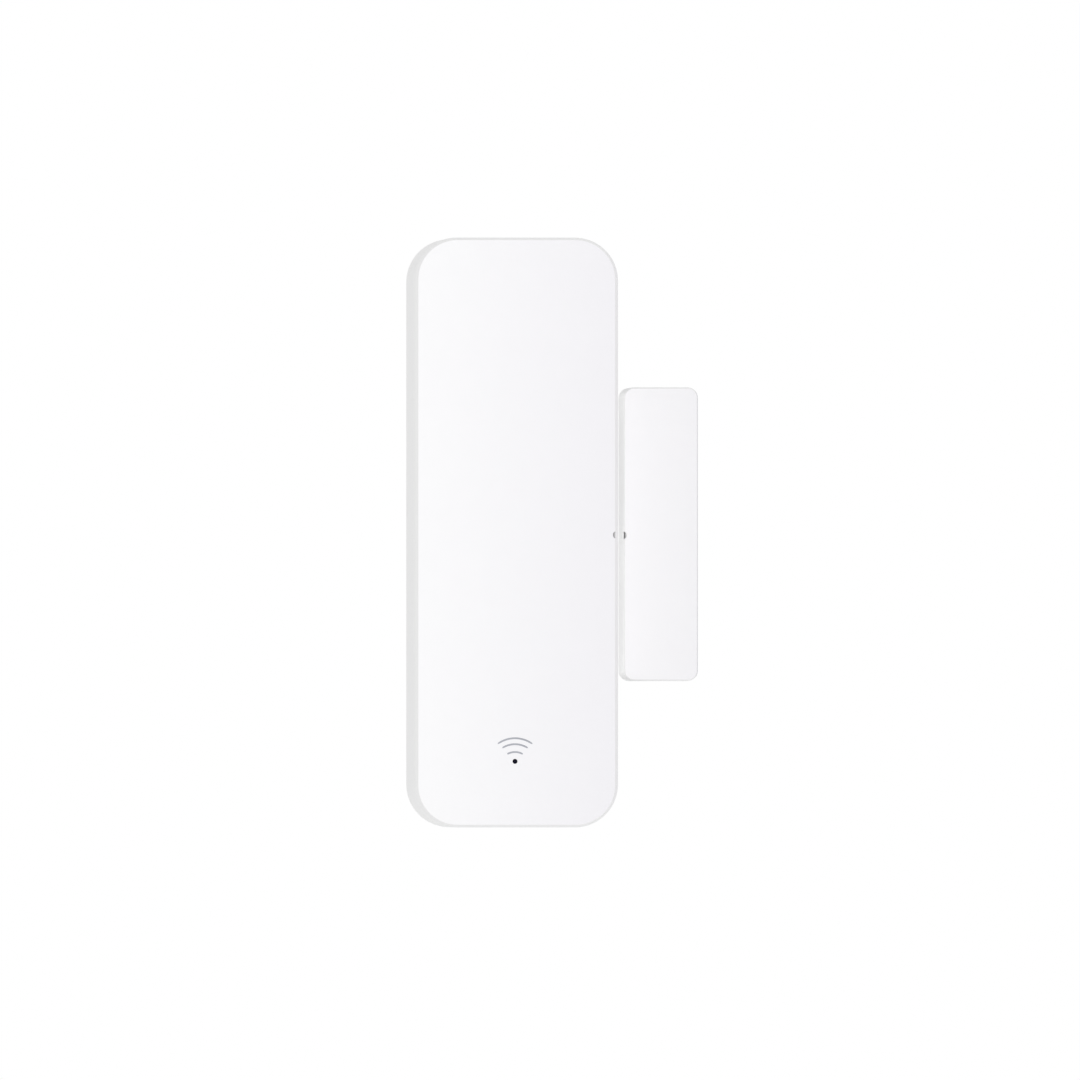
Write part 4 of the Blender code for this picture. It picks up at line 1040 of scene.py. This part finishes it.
def make_board_copper(finish, mask):
    """Bare pads, and the tracks that run under the solder mask."""
    back, front = box_of("circuit_board")[2:4]
    back_face, front_face = (back, -1), (front, 1)
    pads = bmesh.new()
    for node in SCREWS:
        for face in (back_face, front_face):
            add_ring_pad(pads, middle_of(node), SCREW_PAD_RADII, face)
    for node in CHIPS:
        x, z = middle_of(node)
        for side in (-1, 1):
            add_pad(pads, x, z + side * CHIP_PAD_Z, *CHIP_PAD, front_face)
    for x, z, width, height in PART_PADS:
        for side in (-1, 1):
            add_pad(pads, x + side * width * PART_PAD_X, z, width * PART_PAD_WIDTH, height, front_face)
    x, z = middle_of("switch_body")
    for side_x, side_z in QUARTERS:
        add_pad(pads, x + side_x * SWITCH_PAD_X, z + side_z * SWITCH_LEG_Z, *SWITCH_PAD, back_face)
    for x in TEST_PAD_PLACES:
        for face in (back_face, front_face):
            add_ring_pad(pads, (x, TEST_PAD_Z), TEST_PAD_RADII, face)
    tracks = bmesh.new()
    for route in FRONT_ROUTES:
        add_trace(tracks, route, FRONT_TRACK, front_face)
    for route in BACK_ROUTES:
        add_trace(tracks, route, BACK_TRACK, back_face)
    make_piece("board_pads", pads, finish)
    make_piece("board_tracks", tracks, mask)


def make_board_legend(finish):
    """White outlines printed round the parts, without any lettering."""
    back, front = box_of("circuit_board")[2:4]
    legend = bmesh.new()
    outlined = (
        ("radio_board", 0.35, (front, 1)),
        ("tantalum_capacitor", 0.45, (front, 1)),
        ("power_inductor", 0.45, (front, 1)),
        ("switch_body", 0.4, (back, -1)),
        ("bulk_capacitor", 0.3, (back, -1)),
    )
    for node, margin, face in outlined:
        left, right, bottom, top = inset(sides_of(node), -margin)
        loop = [(left, bottom), (right, bottom), (right, top), (left, top)]
        add_trace(legend, loop, LEGEND_WIDTH, face, LEGEND_RISE, looped=True)
    make_piece("board_legend", legend, finish)


def make_solder(finish):
    """Fillets of solder round the contact tails and the reed's leads."""
    front = box_of("circuit_board")[3]
    joints = []
    for node, side in (("negative_contact", -1), ("positive_contact", 1)):
        joints.append((side * TAIL_X, box_of(node)[4] + TAIL_RISE, TAIL_JOINT_RADIUS))
    reed_x = middle_of("reed_fixed_blade")[0]
    joints += [(reed_x, side * REED_JOINT_Z, REED_JOINT_RADIUS) for side in (-1, 1)]
    shape = bmesh.new()
    for x, z, radius in joints:
        profile = [(radius * share, front + rise) for share, rise in SOLDER_FILLET]
        add_turned(shape, profile, facing_front(x, z), PAD_STEPS)
    make_piece("solder_joints", shape, finish)


def make_reed_tube(finish):
    """Glass tube drawn in and sealed at both ends, with a bore round the blades."""
    x, depth, radius, bottom, top = round_of("reed_glass")
    half = (top - bottom) / 2
    outer = [(0.55, half), (0.7, half - 0.02), (0.85, half - 0.12), (1.0, half - 0.35), (radius, half - 0.75)]
    inner = [(0.55, half - 1.6), (0.68, half - 1.72), (0.78, half - 1.95), (0.8, half - 2.2)]
    profile = outer + [(across, -height) for across, height in reversed(outer)]
    profile += [(across, -height) for across, height in inner]
    profile += list(reversed(inner))
    shape = new_shape(add_turned, profile, upright(x, depth, (bottom + top) / 2), closed=True)
    make_piece("reed_tube", shape, finish, "reed_glass")


def make_chip_ends(finish):
    """Tinned ends of the small chips, and the folded ends of the larger parts."""
    shape = bmesh.new()
    for node in CHIPS:
        left, right, back, front, bottom, top = box_of(node)
        sides = (left - TIN_SKIN, right + TIN_SKIN)
        for low, high in ((bottom - TIN_SKIN, bottom + CHIP_END), (top - CHIP_END, top + TIN_SKIN)):
            add_box(shape, *sides, low, high, back - TIN_SINK, front + TIN_SKIN, edge=0.06)
    for node in ("tantalum_capacitor", "power_inductor", "status_led"):
        left, right, back, front, bottom, top = box_of(node)
        margin = (top - bottom) * PART_END_MARGIN
        reach = back + (front - back) * PART_END_HEIGHT
        ends = ((left - PART_END_OUT, left + PART_END_IN), (right - PART_END_IN, right + PART_END_OUT))
        for end in ends:
            add_box(shape, *end, bottom + margin, top - margin, back - TIN_SINK, reach, edge=0.05)
    make_piece("chip_ends", shape, finish)


def make_radio_copper(finish):
    """Half-round edge pads, and the folded aerial beyond the shield."""
    left, right, _, front, bottom, top = box_of("radio_board")
    shape = bmesh.new()
    inner_radius, outer_radius = EDGE_PAD_RADII
    for side, edge in ((1, left), (-1, right)):
        for index in range(EDGE_PADS):
            middle = (edge, bottom + EDGE_PAD_START + EDGE_PAD_PITCH * index)
            outer = half_ellipse(middle, side * outer_radius, outer_radius, EDGE_PAD_STEPS)
            inner = half_ellipse(middle, side * inner_radius, inner_radius, EDGE_PAD_STEPS)
            for quad in zip(outer, outer[1:], inner[1:], inner):
                add_loft(shape, [(quad, depth) for depth in layer((front, 1), TRACK_RISE)])
    start, low, high = (top - below for below in AERIAL_BELOW_TOP)
    aerial = [(AERIAL_LEFT, start), (AERIAL_LEFT, high)]
    for turn in range(AERIAL_TURNS):
        x = AERIAL_FOLDS_FROM + 2 * AERIAL_FOLD * turn
        aerial += [(x, high), (x, low), (x + AERIAL_FOLD, low), (x + AERIAL_FOLD, high)]
    aerial.append((AERIAL_RIGHT, high))
    feed_x = AERIAL_LEFT + AERIAL_FOLD
    feed = [(feed_x, start), (feed_x, high - AERIAL_WIDTH / 2)]
    for strip in (aerial, feed):
        add_trace(shape, strip, AERIAL_WIDTH, (front, 1))
    make_piece("radio_copper", shape, finish)


def make_switch_frame(finish):
    """Steel plate over the switch, with its round opening, corner studs and bent legs."""
    back, front = box_of("switch_body")[2:4]
    x, z = middle_of("switch_body")
    outline = rounded_rectangle(inset(sides_of("switch_body"), FRAME_INSET), FRAME_CORNER, steps=6)
    square = walk_to(outline, FRAME_STEPS, (x, z))
    hole = circle((x, z), FRAME_HOLE_RADIUS, FRAME_STEPS)
    outside, inside = back - FRAME_THICKNESS, back + FRAME_SINK
    sections = ((hole, outside), (square, outside), (square, inside), (hole, inside))
    shape = bmesh.new()
    add_rings(shape, [[(px, -depth, pz) for px, pz in points] for points, depth in sections], looped=True)
    stud = [(share, back - rise) for share, rise in STUD_PROFILE]
    inner, outer, toe = LEG_REACH
    for side_x, side_z in QUARTERS:
        add_turned(shape, stud, facing_front(x + side_x * STUD_PLACE, z + side_z * STUD_PLACE), steps=20)
        leg_z = z + side_z * SWITCH_LEG_Z
        height = (leg_z - LEG_HALF_WIDTH, leg_z + LEG_HALF_WIDTH)
        leg = sorted((x + side_x * inner, x + side_x * outer))
        add_box(shape, *leg, *height, back + LEG_BACK, front)
        foot = sorted((x + side_x * inner, x + side_x * toe))
        add_box(shape, *foot, *height, front - FRAME_THICKNESS, front + FRAME_SINK)
    make_piece("switch_frame", shape, finish)


def walk_to(outline, count, centre):
    """Where count evenly turned rays from the centre meet an outline."""
    sides = list(zip(outline, outline[1:] + outline[:1]))
    points = []
    for step in range(count):
        angle = math.tau * step / count
        far = Vector(centre) + Vector((math.cos(angle), math.sin(angle))) * FRAME_RAY
        crossings = (geometry.intersect_line_line_2d(centre, far, *side) for side in sides)
        points.append(next(tuple(crossing) for crossing in crossings if crossing))
    return points


# Stage


def make_stage():
    """Pale paper floor. Its faint glow lights the bottom rims as brightly as the top ones."""
    side = FLOOR_SIDE / 2
    height = CAD_BOX[0].z - FLOOR_DROP * MM
    corners = ((-side, -side, height), (side, -side, height), (side, side, height), (-side, side, height))
    mesh = bpy.data.meshes.new("floor")
    mesh.from_pydata(corners, [], [range(4)])
    finish = Finish("floor_paper", (0.96, 0.96, 0.96), 0.9)
    finish.mottle(30.0, 2.0, (0.3, 0.7), 0.1, (0.93, 0.93, 0.93))
    paper = finish.done(Specular_IOR_Level=0.0, Emission_Color=WHITE, Emission_Strength=FLOOR_GLOW)
    mesh.materials.append(paper)
    add_object("floor", mesh)


def make_world():
    """White to the camera, and softer as a light on the object."""
    world = bpy.data.worlds.new("studio")
    world.use_nodes = True
    nodes = world.node_tree.nodes
    links = world.node_tree.links
    backdrop = nodes["Background"]
    ambient = nodes.new("ShaderNodeBackground")
    for background, strength in ((backdrop, 1.0), (ambient, AMBIENT)):
        background.inputs["Color"].default_value = WHITE
        background.inputs["Strength"].default_value = strength
    ray = nodes.new("ShaderNodeLightPath")
    mix = nodes.new("ShaderNodeMixShader")
    links.new(ray.outputs["Is Camera Ray"], mix.inputs[0])
    links.new(ambient.outputs[0], mix.inputs[1])
    links.new(backdrop.outputs[0], mix.inputs[2])
    links.new(mix.outputs[0], nodes["World Output"].inputs["Surface"])
    bpy.context.scene.world = world
    bpy.context.scene.view_settings.view_transform = "Standard"


def direction(azimuth, elevation):
    """Unit vector from the object towards a viewpoint."""
    turn, rise = math.radians(azimuth), math.radians(elevation)
    return Vector((math.sin(turn) * math.cos(rise), -math.cos(turn) * math.cos(rise), math.sin(rise)))


def place(thing, spot, towards):
    """Puts a light or a camera at a spot in metres, with its back towards a direction."""
    thing.location = spot
    thing.rotation_euler = towards.to_track_quat("Z", "Y").to_euler()


def add_key_light():
    lamp = bpy.data.lights.new("key", "AREA")
    lamp.shape = "DISK"
    lamp.size = KEY_SIZE
    lamp.energy = KEY_POWER
    towards = direction(0.0, KEY_ELEVATION)
    place(add_object("key", lamp), Vector(VIEW_AIM) * MM + towards * KEY_DISTANCE, towards)


def add_gap_light(name, glow, front, heights, steps=1):
    """Light that the sensor unit's right wall throws back at the magnet unit across the narrow gap.

    It stands some steps off the wall, because lights in one plane would hide each other.
    """
    right = box_of("front_cover")[1]
    back = box_of("magnet_back_plate")[2]
    bottom, top = heights
    lamp = bpy.data.lights.new(name, "AREA")
    lamp.shape = "RECTANGLE"
    lamp.size = (front - back) * MM
    lamp.size_y = (top - bottom) * MM
    lamp.energy = glow * math.pi * lamp.size * lamp.size_y
    light = add_object(name, lamp)
    light.visible_camera = False
    middle = Vector((right + steps * GAP_LIGHT_STEP, -(back + front) / 2, (bottom + top) / 2))
    place(light, middle * MM, Vector((-1, 0, 0)))
    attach(light, "sensor_housing")


def add_gap_lights():
    """One light that also grazes the magnet unit's face, and two that only fill the gap."""
    front, bottom, top = box_of("magnet_cover")[3:]
    middle = (bottom + top) / 2
    add_gap_light("gap_light", GAP_GLOW, front + GAP_GLOW_REACH, (bottom, top))
    add_gap_light("upper_gap_light", UPPER_GAP_GLOW, front, (middle, top), 2)
    add_gap_light("lower_gap_light", LOWER_GAP_GLOW, front, (bottom, middle), 2)


def make_camera():
    lens = bpy.data.cameras.new("camera")
    lens.lens = LENS
    lens.sensor_width = SENSOR_SIZE
    distance = VIEW_WIDTH * MM * LENS / SENSOR_SIZE
    lens.clip_start = distance / 10
    lens.clip_end = distance * 4
    camera = add_object("camera", lens)
    towards = direction(VIEW_AZIMUTH, VIEW_ELEVATION)
    place(camera, Vector(VIEW_AIM) * MM + towards * distance, towards)
    bpy.context.scene.camera = camera


def make_inside():
    nickel = metal_finish("nickel", (0.48, 0.46, 0.42), 0.24, (1, 1, 12))
    bright = metal_finish("bright_can", (0.54, 0.54, 0.55), 0.22, (1, 1, 12))
    steel = metal_finish("screw_steel", (0.36, 0.37, 0.39), 0.3)
    tin = metal_finish("tin", (0.5, 0.5, 0.49), 0.34)
    gold = metal_finish("gilded_copper", (0.75, 0.52, 0.2), 0.3, tarnish=(0.45, 0.28, 0.1))
    black = plastic_finish("black_moulding", (0.022, 0.022, 0.024), 0.5)
    resin = plastic_finish("chip_resin", (0.018, 0.018, 0.02), 0.42, 0.001)
    ceramic = plastic_finish("chip_ceramic", (0.4, 0.27, 0.17), 0.5, 0.001)
    ferrite = plastic_finish("ferrite", (0.05, 0.05, 0.055), 0.65, 0.006)
    ink = plastic_finish("white_ink", (0.8, 0.8, 0.78), 0.55, 0.001)
    green = laminate_finish("green_board", (0.006, 0.09, 0.035), (0.02, 0.19, 0.07))
    track = laminate_finish("green_track", (0.02, 0.19, 0.07), (0.03, 0.22, 0.09))
    blue = laminate_finish("radio_laminate", (0.004, 0.018, 0.08), (0.01, 0.04, 0.15))
    amber = resin_finish("led_resin", (0.85, 0.8, 0.5))
    tantalum = plastic_finish("tantalum_resin", (0.55, 0.27, 0.02), 0.45)
    grey = plastic_finish("button_grey", (0.3, 0.31, 0.33), 0.5)
    dark_foam = foam_finish("dark_foam", (0.05, 0.05, 0.05), (0.02, 0.02, 0.02))

    make_polarity_marks(ink)
    make_board_copper(gold, track)
    make_board_legend(ink)
    make_solder(tin)
    make_chip_ends(tin)
    make_radio_copper(gold)
    make_reed_tube(glass_finish("reed_glass_tint"))
    make_switch_frame(bright)
    for side, flipped in CELLS:
        node = f"battery_{side}"
        make_cell(f"cell_{side}", node, flipped, bright, sleeve_finish(f"sleeve_{side}", node, flipped))
        refine(f"screw_{side}", f"board_screw_{side}", steel, 0.04)
    for node in ("bridge_contact", "negative_contact", "positive_contact"):
        refine(f"{node}_strip", node, nickel)
    for index in (1, 2, 3):
        refine(f"resistor_{index}_body", f"chip_resistor_{index}", resin, 0.03)
        refine(f"capacitor_{index}_body", f"chip_capacitor_{index}", ceramic, 0.03)
    for name, node, finish, slot, edge in (
        ("holder_tray", "battery_holder", black, "black_moulding", 0.1),
        ("board_panel", "circuit_board", green, "board_laminate", 0.05),
        ("radio_panel", "radio_board", blue, "radio_laminate", 0.03),
        ("radio_can", "radio_shield", nickel, "nickel_plate", 0.04),
        ("reed_upper_blade", "reed_fixed_blade", nickel, "nickel_plate", 0.02),
        ("reed_lower_blade", "reed_moving_blade", nickel, "nickel_plate", 0.02),
        ("led_body", "status_led", amber, "led_resin", 0.04),
        ("bulk_can", "bulk_capacitor", bright, "capacitor_can", 0.05),
        ("tantalum_body", "tantalum_capacitor", tantalum, "tantalum_resin", 0.06),
        ("inductor_body", "power_inductor", ferrite, "ferrite", 0.08),
        ("regulator_body", "voltage_regulator", resin, "black_moulding", 0.03),
        ("switch_case", "switch_body", black, "black_moulding", 0.08),
        ("switch_snap_dome", "switch_dome", steel, "screw_steel", 0.0),
        ("switch_button", "switch_plunger", grey, "grey_button", 0.08),
        ("bar_magnet", "magnet_bar", bright, "nickel_plate", 0.12),
        ("magnet_foam_pad", "magnet_foam", dark_foam, "dark_foam", 0.1),
    ):
        refine(name, node, finish, edge)


def build():
    # Face colours are painted light, lit at the left and shaded at the right; the last colour is the right
    # wall's painted shade.
    faces = ((0.90, 0.898, 0.907), (0.825, 0.815, 0.843))
    make_front_cover(casing_finish("sensor_white", "front_cover", faces, WALL_WHITE, (0.82, 0.81, 0.825)))
    # The magnet unit's face and right wall carry painted light and shade in the same way.
    faces = ((0.897, 0.889, 0.905), (0.835, 0.828, 0.848))
    make_magnet_cover(casing_finish("magnet_white", "magnet_cover", faces, WALL_WHITE, (0.68, 0.675, 0.7)))
    make_back_plates(casing_finish("plate_white", "back_plate", (PLATE_WHITE, PLATE_WHITE), PLATE_WHITE))
    foam = foam_finish("tape_foam", (0.66, 0.66, 0.63), (0.34, 0.34, 0.32))
    adhesive = adhesive_finish("tape_adhesive")
    make_tape("tape_pad", "base_tape", 3.0, "back_plate", foam, adhesive)
    make_tape("magnet_tape_pad", "magnet_tape", 1.0, "magnet_back_plate", foam, adhesive)
    make_mark(plastic_finish("mark_ink", (0.36, 0.37, 0.41), 0.5, 0.0005))
    lens_resin = resin_finish("lens_resin", (0.0015, 0.0015, 0.009), 0.07)
    refine("light_pipe_lens", "light_pipe", lens_resin)
    make_inside()

    make_stage()
    make_world()
    add_key_light()
    add_gap_lights()
    make_camera()


build()
